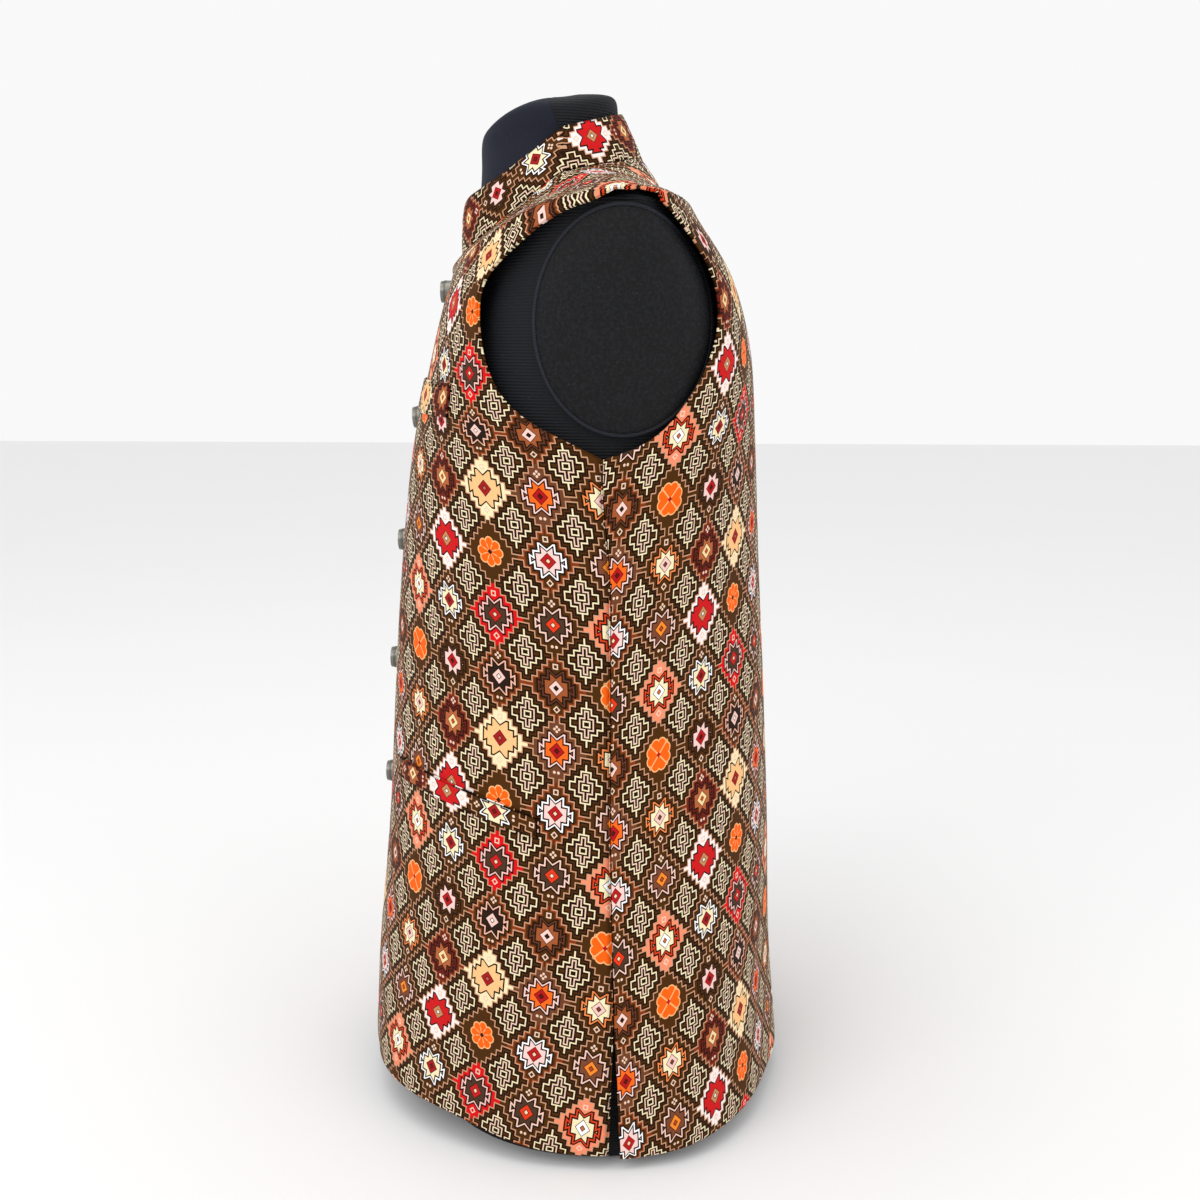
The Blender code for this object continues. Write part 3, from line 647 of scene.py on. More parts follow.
@dataclass(frozen=True)
class PrintedCloth:
    """Cloth printed with a lattice of stepped diamonds, every second one with a star or flower.

    The print is charted in units of a twelfth of a cell. A cell's shapes are given by how far a
    place lies outside them, and its lines are bands of that distance.
    """

    wide: float = 0.0415
    high: float = 0.0433
    units: float = 12.0
    repeat: float = 4.0
    line: float = 0.27
    cream: Colour = paint("F6E6BC")
    blush: Colour = paint("F0CDB4")
    worn: Colour = paint("8A6040")
    soil: Colour = paint("120B08")

    @staticmethod
    def box(x: Wire, y: Wire, wide: float, high: float) -> Wire:
        """Returns how far a place lies outside a rectangle about the middle."""
        return (x - wide).most(y - high)

    @staticmethod
    def within(shape: Wire, low: float, high: float) -> Wire:
        """Returns 1 where a distance lies between two values."""
        return (shape > low) * (shape < high)

    @staticmethod
    def steps(x: Wire, y: Wire, grow: float) -> Wire:
        """Finds the stepped diamond of a plain cell.

        Args:
            x: Units sideways from the cell's middle.
            y: Units up or down from it.
            grow: Units by which the diamond is smaller.

        Returns:
            1 inside it, else 0.
        """
        step = ((x + (grow - 1.03)) / 1.075).most(0.0).ceil()
        return (y + grow) < (5.45 - 1.227 * step)

    def hearts(self, x: Wire, y: Wire) -> Wire:
        """Charts four hearts, their tips at the middle.

        Args:
            x: Units sideways from the cell's middle.
            y: Units up or down from it.

        Returns:
            How far a place lies outside them.
        """
        both = []
        for across, out in ((x, y), (y, x)):
            lobe = (across - 0.82).far(out - 1.95) - 0.92
            both.append(lobe.least((across - out * 0.86).most(out - 2.2)))
        return both[0].least(both[1])

    def petals(self, x: Wire, y: Wire) -> Wire:
        """Charts eight petals.

        Args:
            x: Units sideways from the cell's middle.
            y: Units up or down from it.

        Returns:
            How far a place lies outside them.
        """
        turn = y.op("ARCTAN2", x)
        fold = (turn + math.pi / 8) % (math.pi / 4) - math.pi / 8
        reach = x.far(y)
        across, out = abs(reach * fold.sin()), reach * fold.op("COSINE")
        return (across.far(out - 1.95) - 0.72).least((across - out * 0.32).most(out - 2.0))

    def star(self, x: Wire, y: Wire) -> Wire:
        """Charts an eight-pointed star with stepped shoulders.

        Args:
            x: Units sideways from the cell's middle.
            y: Units up or down from it.

        Returns:
            How far a place lies outside it.
        """
        body = self.box(x, y, 2.85, 1.85)
        upright = (x - 1.72).most(y - x * 0.80 - 2.30)
        level = (x - 3.65).most(y - x * 0.58 + 1.06)
        return body.least(upright.most(y - 3.35)).least(level.most(y - 1.1))

    def colour(self, bench: Bench) -> bpy.types.NodeSocket:
        """Lays out the print.

        Args:
            bench: The material's bench.

        Returns:
            The colour's socket.
        """
        u, v, _ = bench.place("UV")
        p, q = u / self.wide, v / self.high
        column, row = (p + 0.5).floor(), (q + 0.5).floor()
        side_x, side_y = (p - column) * self.units, (q - row) * self.units
        x, y = abs(side_x), abs(side_y)
        far_x, far_y = self.units / 2 - x, self.units / 2 - y
        cell = ((row % self.repeat) * self.repeat + (column % self.repeat) + 0.5) / len(MOTIFS)

        def kinds(name: str) -> bpy.types.NodeSocket:
            """Picks one colour of the cell's motif."""
            return bench.pick([getattr(one, name) for one in MOTIFS], cell)

        inner = bench.pick([one.star if one.outline == one.star else DARK for one in MOTIFS], cell)
        shades = [(one.kind.value,) * 3 for one in MOTIFS]
        kind = bench.wire(bench.pick(shades, cell))
        is_star, is_hearts = kind < 0.25, kind > 0.75
        is_petals = (1.0 - is_star) * (1.0 - is_hearts)

        plain = self.steps(far_x, far_y, 0.0)
        starred = 1.0 - plain
        lattice = starred * self.steps(far_x, far_y, -0.24)
        banded = starred * self.steps(far_x, far_y, -0.85)
        filled = 1.0 - self.steps(far_x, far_y, -0.52)

        star = self.star(x, y)
        diamond = x + y
        hearts, petals = self.hearts(x, y), self.petals(x, y)
        flower = hearts * is_hearts + petals * is_petals + is_star * 9.0
        veins = self.within(abs(x - y), -1.0, 0.2) * is_hearts * (flower < 0.0)
        below = side_y < 0.0
        speck = abs(y - 4.1)
        odd = (row + column) % 2.0
        pair = (x - 0.42).far(speck) < 0.29
        cross = (x - 0.46).far(speck).least(x.far(speck - 0.46)) < 0.26
        lozenge, square = self.within(x + speck, 0.42, 0.74), self.within(x.most(speck), 0.30, 0.54)
        low = pair * odd + lozenge * (1.0 - odd)
        dots = low * below + (cross * odd + square * (1.0 - odd)) * (1.0 - below)

        core = self.box(far_x, far_y, 0.78, 0.66)
        middle = self.box(far_x, far_y, 1.5, 1.22).least(self.box(far_x, far_y, 0.50, 2.62))
        steps = self.box(far_x, far_y, 3.4, 0.92).least(self.box(far_x, far_y, 2.3, 1.98))
        steps = steps.least(self.box(far_x, far_y, 1.12, 3.15))
        spike = self.box(far_x, far_y, 0.17, 4.35)
        edge = plain * (1.0 - self.steps(far_x, far_y, 0.34))
        black = self.within(core, 0.0, 0.32).most(self.within(middle, 0.0, 0.30))
        black = black.most(self.within(steps, -0.62, -self.line)).most(self.within(steps, 0.0, 0.42))
        black = black.most((spike < 0.36) * (steps > 0.0)).most(edge)
        black = black.most(self.within(middle, -0.5, -self.line)).most(core < -self.line)
        meander = bench.layers(
            BROWN,
            (black, DARK),
            (self.within(core, -self.line, 0.0), self.cream),
            (self.within(middle, -self.line, 0.0), self.blush),
            (self.within(steps, -self.line, 0.0).most((spike < 0.0) * (steps > 0.0)), self.cream),
        )
        medallion = bench.layers(
            BROWN,
            (banded, kinds("band")),
            (filled, kinds("field")),
            (dots * is_star, self.blush),
            (self.within(star, 0.0, 0.34) * is_star, DARK),
            (self.within(star, -0.30, 0.0) * is_star, kinds("outline")),
            (self.within(star, -0.60, -0.30) * is_star, inner),
            ((star < -0.60) * is_star, kinds("star")),
            ((diamond < 1.62) * is_star, DARK),
            ((diamond < 1.44) * is_star, kinds("diamond")),
            ((diamond < 0.62) * is_star, DARK),
            ((diamond < 0.42) * is_star, kinds("centre")),
            ((flower < 0.26) * (1.0 - is_star), kinds("outline")),
            ((flower < 0.0) * (1.0 - is_star), kinds("star")),
            (veins.most(0.0), kinds("outline")),
            ((diamond < 0.55) * (1.0 - is_star), kinds("centre")),
            (lattice, TAN),
        )
        return bench.blend(starred, meander, medallion)

    def make(self) -> bpy.types.Material:
        """Makes the material: print, weave and a faint gloss.

        Returns:
            The material.
        """
        bench = Bench("printed_cloth")
        u, v, _ = bench.place("UV")
        cloudy = bench.noise(9.0, 3.0)
        grain = bench.noise(1500.0, 1.0)
        faded = bench.blend((cloudy - 0.40) * 0.06, self.colour(bench), self.worn)
        tone = bench.blend(grain * 0.10, faded, self.soil)
        weave = (u * 5200.0).sin() * (v * 5200.0).sin() * 0.5 + grain
        sockets = {"Base Color": tone, "Roughness": 0.50 + cloudy * 0.14, "Specular IOR Level": 0.05}
        return bench.finish(sockets, weave, 0.00007)


@dataclass(frozen=True)
class Lining:
    """Dark satin lining of the cloth's inner face."""

    colour: Colour = paint("2A1B13")
    bright: Colour = paint("3A281C")

    def make(self) -> bpy.types.Material:
        """Makes the material: satin with fine ribs.

        Returns:
            The material.
        """
        bench = Bench("lining_satin")
        u, v, _ = bench.place("UV")
        ribs = ((u + v) * 4200.0).sin()
        cloudy = bench.noise(14.0)
        tone = bench.blend(cloudy, self.colour, self.bright)
        sockets = {"Base Color": tone, "Roughness": 0.34 + cloudy * 0.12, "Specular IOR Level": 0.5}
        return bench.finish(sockets, ribs, 0.00003)


@dataclass(frozen=True)
class Jersey:
    """Black knitted jersey with fine ribs across, and smooth navy cloth on the front of the neck."""

    name: str
    ribs: float
    ribbed: float = 1.0
    colour: Colour = paint("08090B")
    bright: Colour = paint("181A22")
    navy: Colour = paint("0D1122")
    lint: Colour = paint("8A8C96")
    sheen: Colour = paint("5A6078")
    grain: float = 0.0
    knit: float = 0.0011
    throat_low: float = 0.664
    throat_back: float = 0.3132
    throat_lean: float = 0.436
    throat_wide: float = 0.066

    def make(self) -> bpy.types.Material:
        """Makes the material: ribs, knit and lint.

        Returns:
            The material.
        """
        bench = Bench(self.name)
        x, y, z = bench.place("Object")
        smooth = (z > self.throat_low) * (y < self.throat_back - z * self.throat_lean)
        smooth = smooth * (abs(x) < self.throat_wide)
        rib = (z * (2 * math.pi / self.ribs)).sin() * self.ribbed * (1.0 - smooth)
        knit = ((x + y) * (2 * math.pi / self.knit)).sin()
        cloudy = bench.noise(11.0, 3.0)
        lint = bench.noise(1100.0, 0.0) > 0.80
        speckle = (bench.noise(430.0, 1.0) - 0.5) * self.grain
        tone = bench.blend(rib * 0.25 + cloudy * 0.50 + speckle, self.colour, self.bright)
        tone = bench.blend(smooth, tone, self.navy)
        tone = bench.blend(lint * 0.08, tone, self.lint)
        sockets = {
            "Base Color": tone,
            "Roughness": 0.66 + cloudy * 0.16,
            "Specular IOR Level": 0.25,
            "Sheen Weight": 0.03,
            "Sheen Roughness": 0.5,
            "Sheen Tint": (*self.sheen, 1.0),
        }
        return bench.finish(sockets, rib + knit * 0.25 + cloudy * 0.6, 0.00016)


@dataclass(frozen=True)
class AgedMetal:
    """Aged button metal, worn bright where it stands out, its hollows dark with tarnish and painted shade."""

    bright: Colour = paint("CFCBC0")
    # dark colour of the hollows: tarnish together with painted cavity shade
    tarnish_and_cavity_shade: Colour = paint("171512")

    def make(self) -> bpy.types.Material:
        """Makes the material: hollows darkened by tarnish and painted shade, bright worn edges and fine
        scratches.

        Returns:
            The material.
        """
        bench = Bench("button_metal")
        bare = bench.wire(bench.node("ShaderNodeNewGeometry").outputs["Pointiness"])
        stain = bench.noise(650.0, 3.0)
        scratch = bench.noise(4200.0, 1.0)
        # low pointiness takes the dark colour: tarnish in the hollows and painted cavity shade in one
        edge = ((bare - 0.47) * 9.0).most(0.0).least(1.0)
        tone = bench.blend((edge * 0.75 + stain * 0.12).least(1.0), self.tarnish_and_cavity_shade, self.bright)
        sockets = {"Base Color": tone, "Metallic": 1.0, "Roughness": 0.30 - edge * 0.12 + stain * 0.12}
        return bench.finish(sockets, scratch, 0.00002)


@dataclass(frozen=True)
class Thread:
    """Twisted thread of stitches and buttonholes."""

    colour: Colour = paint("5A4030")
    fuzz: Colour = paint("8A6A50")

    def make(self) -> bpy.types.Material:
        """Makes the material: twist and fuzz.

        Returns:
            The material.
        """
        bench = Bench("brown_thread")
        x, y, z = bench.place("Object")
        twist = ((x + z + y * 0.4) * 14000.0).sin()
        fuzz = bench.noise(2500.0)
        tone = bench.blend(fuzz * 0.5 + twist * 0.2, self.colour, self.fuzz)
        return bench.finish({"Base Color": tone, "Roughness": 0.62 + fuzz * 0.15}, twist, 0.00006)


@dataclass(frozen=True)
class PaleFloor:
    """Plain pale floor."""

    colour: Colour = (0.86, 0.86, 0.86)
    shade: Colour = (0.80, 0.80, 0.81)

    def make(self) -> bpy.types.Material:
        """Makes the material: almost white with a faint grain.

        Returns:
            The material.
        """
        bench = Bench("pale_floor")
        cloudy = bench.noise(3.0)
        tone = bench.blend(cloudy * 0.2, self.colour, self.shade)
        return bench.finish({"Base Color": tone, "Roughness": 0.9})


@dataclass
class Finishes:
    """The materials of all pieces."""

    cloth: bpy.types.Material
    lining: bpy.types.Material
    jersey: bpy.types.Material
    plate: bpy.types.Material
    piping: bpy.types.Material
    metal: bpy.types.Material
    thread: bpy.types.Material
    floor: bpy.types.Material

    @classmethod
    def make(cls) -> Finishes:
        """Makes every material once.

        Returns:
            The materials.
        """
        return cls(
            PrintedCloth().make(), Lining().make(), Jersey("black_jersey", 0.0021).make(),
            Jersey("plate_jersey", 0.0016, 0.15, paint("040405"), paint("16171C"), grain=2.4).make(),
            # the piping's colours are lighter than the other jersey: its own colour plus a painted highlight
            # along the pad's rim
            Jersey("piping_jersey_painted_highlight", 0.0010, 1.0, paint("15161C"), paint("363842")).make(),
            AgedMetal().make(), Thread().make(), PaleFloor().make(),
        )


# ---------------------------------------------------------------- meshes


def face_out(mesh: bpy.types.Mesh) -> None:
    """Turns the faces of a closed mesh outwards and shades it smooth.

    Args:
        mesh: The mesh.
    """
    work = bmesh.new()
    work.from_mesh(mesh)
    bmesh.ops.recalc_face_normals(work, faces=work.faces)
    work.to_mesh(mesh)
    work.free()
    mesh.shade_smooth()


def add_piece(
    name: str,
    points: np.ndarray,
    faces: Sequence[Sequence[int]],
    materials: Sequence[bpy.types.Material],
    slots: Sequence[int] | None = None,
    cut: np.ndarray | None = None,
) -> bpy.types.Object:
    """Adds a closed, smooth piece to the scene.

    Args:
        name: The piece's name.
        points: Its points in the row's frame.
        faces: Its faces as numbers of points.
        materials: Its materials.
        slots: Each face's material.
        cut: Each point's place on the flat cut, in metres.

    Returns:
        The piece.
    """
    mesh = bpy.data.meshes.new(name)
    mesh.from_pydata(points.tolist(), [], [list(face) for face in faces])
    for material in materials:
        mesh.materials.append(material)
    if slots is not None:
        mesh.polygons.foreach_set("material_index", np.asarray(slots, np.int32))
    if cut is not None:
        layer = mesh.uv_layers.new(name="flat_cut")
        order = np.empty(len(mesh.loops), np.int32)
        mesh.loops.foreach_get("vertex_index", order)
        layer.data.foreach_set("uv", cut[order].astype(np.float32).ravel())
    face_out(mesh)
    piece = bpy.data.objects.new(name, mesh)
    bpy.context.scene.collection.objects.link(piece)
    return piece


def ride(piece: bpy.types.Object, slot: str, *nodes: str) -> None:
    """Puts a piece on the body, in place of nodes.

    Args:
        piece: The piece.
        slot: The record's material slot that it takes; not used.
        nodes: The nodes that it stands for.
    """
    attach(piece, BODY)
    if nodes:
        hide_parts(*nodes)
    LOG.info("%s: %d faces", piece.name, len(piece.data.polygons))


@dataclass
class Edges:
    """How a panel's four edges are made: pressed where it is free, sunk where it is sewn.

    Each depth is below 0 for a seam's groove and above it for a turned edge.
    """

    low: float = 0.0
    high: float = 0.0
    left: float = 0.0
    right: float = 0.0
    groove: float = 0.0035
    fold: float = 0.0025
    ridge_at: float = 0.009
    ridge: float = 0.0035

    def press(self, points: np.ndarray, normals: np.ndarray) -> np.ndarray:
        """Presses a panel: a seam lies in a groove, a turned edge has a low ridge behind it.

        Args:
            points: The grid.
            normals: Its normals.

        Returns:
            The changed grid.
        """
        across, up = run_of(points, 1), run_of(points, 0)
        lift = np.zeros(points.shape[:2])
        for depth, distance in (
            (self.low, up), (self.high, up[-1:] - up),
            (self.left, across), (self.right, across[:, -1:] - across),
        ):
            if depth < 0:
                lift += depth * np.exp(-((distance / self.groove) ** 2))
            else:
                ridge = np.exp(-(((distance - self.ridge_at) / self.ridge) ** 2))
                lift += depth * (ridge - np.exp(-((distance / self.fold) ** 2)))
        return points + normals * lift[..., None]


class Shell:
    """Thin closed cloth between two faces, with pressed, rounded edges."""

    ROUND = 0.0007

    def __init__(
        self, name: str, outer: np.ndarray, normals: np.ndarray, cloth: float, cut: np.ndarray,
    ) -> None:
        """Keeps what the cloth is made from.

        Args:
            name: The piece's name.
            outer: The grid of its outer face.
            normals: The grid's normals.
            cloth: The cloth's thickness.
            cut: Each point's place on the print.
        """
        self.name = name
        self.outer = outer
        self.normals = normals
        self.cloth = cloth
        self.cut = cut

    def rounded(self, grid: np.ndarray) -> np.ndarray:
        """Draws the rim of a grid in a little, so that the cloth's edge is round.

        Args:
            grid: Rows and columns of points.

        Returns:
            The changed grid.
        """
        made = grid.copy()
        every = slice(None)
        for edge, inner in (
            ((0,), (1,)), ((-1,), (-2,)), ((every, 0), (every, 1)), ((every, -1), (every, -2)),
        ):
            way = grid[inner] - grid[edge]
            size = np.linalg.norm(way, axis=-1, keepdims=True)
            made[edge] = made[edge] + way / np.maximum(size, 1e-6) * np.minimum(self.ROUND, size * 0.4)
        return made

    def build(self, outside: bpy.types.Material, inside: bpy.types.Material) -> bpy.types.Object:
        """Builds the closed mesh.

        Args:
            outside: Material of the outer face and the edges.
            inside: Material of the inner face.

        Returns:
            The piece.
        """
        rows, columns = self.outer.shape[:2]
        count = rows * columns
        inner = self.outer - self.normals * self.cloth
        rim = [(0, c) for c in range(columns)] + [(r, columns - 1) for r in range(1, rows)]
        rim += [(rows - 1, c) for c in range(columns - 2, -1, -1)] + [(r, 0) for r in range(rows - 2, 0, -1)]
        number = np.arange(count).reshape(rows, columns)
        corners = (number[:-1, :-1], number[:-1, 1:], number[1:, 1:], number[1:, :-1])
        quads = np.stack(corners, axis=-1).reshape(-1, 4)
        faces = quads.tolist() + (quads[:, ::-1] + count).tolist()
        slots = [0] * len(quads) + [1] * len(quads)
        middle = []
        for here in range(len(rim)):
            following = (here + 1) % len(rim)
            a, b = int(number[rim[here]]), int(number[rim[following]])
            m, n = 2 * count + here, 2 * count + following
            faces += [[b, a, m, n], [n, m, a + count, b + count]]
            slots += [0, 0]
            middle.append((self.outer[rim[here]] + inner[rim[here]]) / 2)
        points = np.concatenate([
            self.rounded(self.outer).reshape(-1, 3), self.rounded(inner).reshape(-1, 3), np.array(middle),
        ])
        flat = self.cut.reshape(-1, 2)
        cut = np.concatenate([flat, flat, np.array([self.cut[place] for place in rim])])
        return add_piece(self.name, points + SHIFT, faces, (outside, inside), slots, cut)

    def sew(self, node: str, flat: np.ndarray, finishes: Finishes) -> bpy.types.Object:
        """Args:
            node: The node.
            flat: The flat cut, as a grid.
            finishes: The materials.

        Returns:
            The piece.
        """
        piece = self.build(finishes.cloth, finishes.lining)
        ride(piece, "printed_cloth", node)
        one, two = flat[1:, 1:] - flat[:-1, :-1], flat[1:, :-1] - flat[:-1, 1:]
        area = float(np.abs(one[..., 0] * two[..., 1] - one[..., 1] * two[..., 0]).sum() / 2)
        return piece


def run_of(points: np.ndarray, axis: int) -> np.ndarray:
    """Measures along the rows or columns of a grid.

    Args:
        points: The grid.
        axis: 0 up the columns, 1 along the rows.

    Returns:
        Each point's distance from the first.
    """
    steps = np.linalg.norm(np.diff(points, axis=axis), axis=-1)
    padding = [(1, 0), (0, 0)] if axis == 0 else [(0, 0), (1, 0)]
    return np.pad(np.cumsum(steps, axis=axis), padding)


def flatten(points: np.ndarray, anchor: int, rounds: int = 500) -> np.ndarray:
    """Flattens a grid of cloth to the cut that it was made from, with hardly any stretch.

    Args:
        points: The grid on the body.
        anchor: The column that stays straight, along the grain.
        rounds: How often the lengths are evened out.

    Returns:
        Each point's place on the flat cut, in metres.
    """
    across, up = run_of(points, 1), run_of(points, 0)
    flat = np.stack([across - across[:, anchor:anchor + 1], up], axis=-1)
    straight = flat[:, anchor].copy()
    pairs = []
    for first, second in (
        ((slice(None), slice(None, -1)), (slice(None), slice(1, None))),
        ((slice(None, -1), slice(None)), (slice(1, None), slice(None))),
        ((slice(None, -1), slice(None, -1)), (slice(1, None), slice(1, None))),
        ((slice(None, -1), slice(1, None)), (slice(1, None), slice(None, -1))),
    ):
        pairs.append((first, second, np.linalg.norm(points[second] - points[first], axis=-1)))
    for _ in range(rounds):
        move, count = np.zeros_like(flat), np.zeros(flat.shape[:2])
        for first, second, length in pairs:
            way = flat[second] - flat[first]
            size = np.maximum(np.linalg.norm(way, axis=-1), 1e-9)
            pull = way * ((size - length) / size / 2)[..., None]
            move[first] += pull
            move[second] -= pull
            count[first] += 1
            count[second] += 1
        flat += move / count[..., None] * 1.5
        flat[:, anchor] = straight
    return flat


def spaced(count: int, near_low: Sequence[float], near_high: Sequence[float]) -> np.ndarray:
    """Spaces places from 0 to 1 evenly, with closer ones near the ends.

    Args:
        count: Even steps.
        near_low: Further places near 0.
        near_high: Further distances from 1.

    Returns:
        The places.
    """
    even = np.linspace(0, 1, count + 1)
    low, high = max(near_low, default=0.0), 1 - max(near_high, default=0.0)
    even = even[(even > low + 0.3 / count) & (even < high - 0.3 / count)]
    return np.concatenate([[0], near_low, even, 1 - np.array(near_high)[::-1], [1]])


# ---------------------------------------------------------------- the jacket's panels


@dataclass(frozen=True)
class Cut:
    """Sizes that the panels share."""

    cloth: float = 0.0020
    seam: float = 0.0003
    seam_angle: float = 93.0
    seam_swing: float = 2.4
    seam_swing_height: float = 0.100
    lap: float = 0.017
    underlap: float = 0.018
    lap_gap: float = 0.0008
    lap_start: float = 0.036
    lap_ramp: float = 0.016
    vent_height: float = 0.098
    vent_gap: float = 0.008
    hem_corner: float = 0.070
    front_hem: float = 0.005
    front_sweep: float = 0.022
    back_sweep: float = 0.016
    sweep_reach: float = 0.9
    hem_fade: float = 2.0
    hem_kick: float = 0.0045
    kick_at: float = 62.0
    kick_spread: float = 15.0
    hem_edge: float = 0.00025
    neck_edge: float = -0.0003
    front_edge: float = 0.0003
    side_edge: float = -0.0006

    def side_line(
        self, armhole: Sequence[tuple[float, float]], sign: int, rows: np.ndarray,
    ) -> tuple[np.ndarray, np.ndarray]:
        """Follows a panel's side: side seam, armhole, shoulder seam.

        Args:
            armhole: The armhole's edge.
            sign: -1 for a front, 1 for the back.
            rows: Places of the rows at the panel's centre.

        Returns:
            The angle and the place of each row's end.
        """
        edge_places = np.array([JACKET.place_at(angle, height) for height, angle in armhole])
        edge_places[0], edge_places[-1] = ARMPIT, SHOULDER_POINT
        fine = np.linspace(0, len(armhole) - 1, 400)
        fine_places = along(edge_places, fine)
        fine_angles = along([angle for _, angle in armhole], fine)
        points = JACKET.smooth(fine_angles, fine_places)
        length = np.concatenate([[0], np.cumsum(np.linalg.norm(np.diff(points, axis=0), axis=1))])
        wanted = length[-1] * np.clip((rows - ARMPIT) / (SHOULDER_POINT - ARMPIT), 0, 1)
        below = RINGS[ARMPIT].side_z - JACKET.smooth(np.full(rows.shape, self.seam_angle), rows)[:, 2]
        angles = self.seam_angle + self.seam_swing * eased(np.clip(below / self.seam_swing_height, 0, 1))
        beside = (rows >= ARMPIT) & (rows <= SHOULDER_POINT)
        angles = np.where(beside, np.interp(wanted, length, fine_angles), angles)
        places = np.where(beside, np.interp(wanted, length, fine_places), rows)
        heights = JACKET.smooth(angles, places)[:, 2]
        opened = np.clip(1 - heights / self.vent_height, 0, 1) * self.vent_gap / 2
        return angles + sign * np.degrees((self.seam / 2 + opened) / RINGS[0].wide), places

    def hem_place(self, angle: np.ndarray, sweep: float, lift: float) -> np.ndarray:
        """Finds the place of a lower edge that rises towards the centre.

        Args:
            angle: Degrees from the centre front.
            sweep: Its rise.
            lift: Its height at the side.

        Returns:
            The place along the rings.
        """
        risen = lift + sweep * eased(np.clip(np.abs(np.cos(np.radians(angle))) / self.sweep_reach, 0, 1))
        return risen / (RINGS[1].side_z - RINGS[0].side_z)

    def kick_place(self, angle: np.ndarray) -> np.ndarray:
        """Returns the further rise of a front's hem between its side and its corner."""
        kick = self.hem_kick * np.exp(-(((np.abs(angle) - self.kick_at) / self.kick_spread) ** 2))
        return kick / (RINGS[1].side_z - RINGS[0].side_z)

    def corner_place(self, angle: np.ndarray) -> np.ndarray:
        """Finds the further rise of a front's rounded lower corner.

        Args:
            angle: Degrees from the centre front.

        Returns:
            The rise, in places along the rings.
        """
        x = JACKET.smooth(angle, np.zeros(np.shape(angle)))[..., 0]
        from_edge = np.clip(x + self.lap, 0, self.hem_corner)
        drop = self.hem_corner - np.sqrt(self.hem_corner**2 - (self.hem_corner - from_edge) ** 2)
        return drop / (RINGS[1].side_z - RINGS[0].side_z)


ROWS = np.concatenate([
    ARMPIT * spaced(40, (0.0008, 0.003, 0.007, 0.012), ()),
    ARMPIT + (SHOULDER_POINT - ARMPIT) * np.linspace(0, 1, 37)[1:],
    SHOULDER_POINT + (NECK - SHOULDER_POINT) * spaced(12, (), (0.006, 0.02, 0.045))[1:],
])
COARSE_ROWS = np.concatenate([
    ARMPIT * np.linspace(0, 1, 14),
    ARMPIT + (SHOULDER_POINT - ARMPIT) * np.linspace(0, 1, 13)[1:],
    SHOULDER_POINT + (NECK - SHOULDER_POINT) * np.linspace(0, 1, 6)[1:],
])


def finer(flat: np.ndarray, even: np.ndarray, parts: np.ndarray) -> np.ndarray:
    """Carries a flat cut from the coarse rows and even columns to the fine ones.

    Args:
        flat: The flat cut on the coarse grid.
        even: Places of the coarse grid's columns.
        parts: Places of the fine grid's columns.

    Returns:
        The flat cut on the fine grid.
    """
    sides = []
    for side in (flat[..., 0], flat[..., 1]):
        spread = np.array([np.interp(parts, even, line) for line in side])
        sides.append(np.array([np.interp(ROWS, COARSE_ROWS, line) for line in spread.T]).T)
    return np.stack(sides, axis=-1)


@dataclass(frozen=True)
class Layout:
    """How a flat cut lies on the print: where it starts, and how the print runs off its grain.

    Each share is added to the flat cut's own place: per metre sideways, per metre up, and so on.
    """

    u: float
    v: float
    u_up: float = 0.0
    u_bow: float = 0.0
    u_spread: float = 0.0
    u_crowd: float = 0.0
    v_out: float = 0.0
    v_bow: float = 0.0
    v_dip: float = 0.0
    v_up: float = 0.0
    turns: int = 0

    def lay(self, flat: np.ndarray) -> np.ndarray:
        """Moves a flat cut to its place on the print, turned by quarter turns to the right.

        Args:
            flat: The flat cut.

        Returns:
            Its places on the print.
        """
        u, v = flat[..., 0], flat[..., 1]
        for _ in range(self.turns):
            u, v = v, -u
        return np.stack([
            self.u + u * (1 + self.u_spread * v + self.u_crowd * u * u) + v * (self.u_up + self.u_bow * v),
            self.v + v * (1 + self.v_up) + u * (self.v_out + self.v_bow * np.abs(u) + self.v_dip * u),
        ], axis=-1)


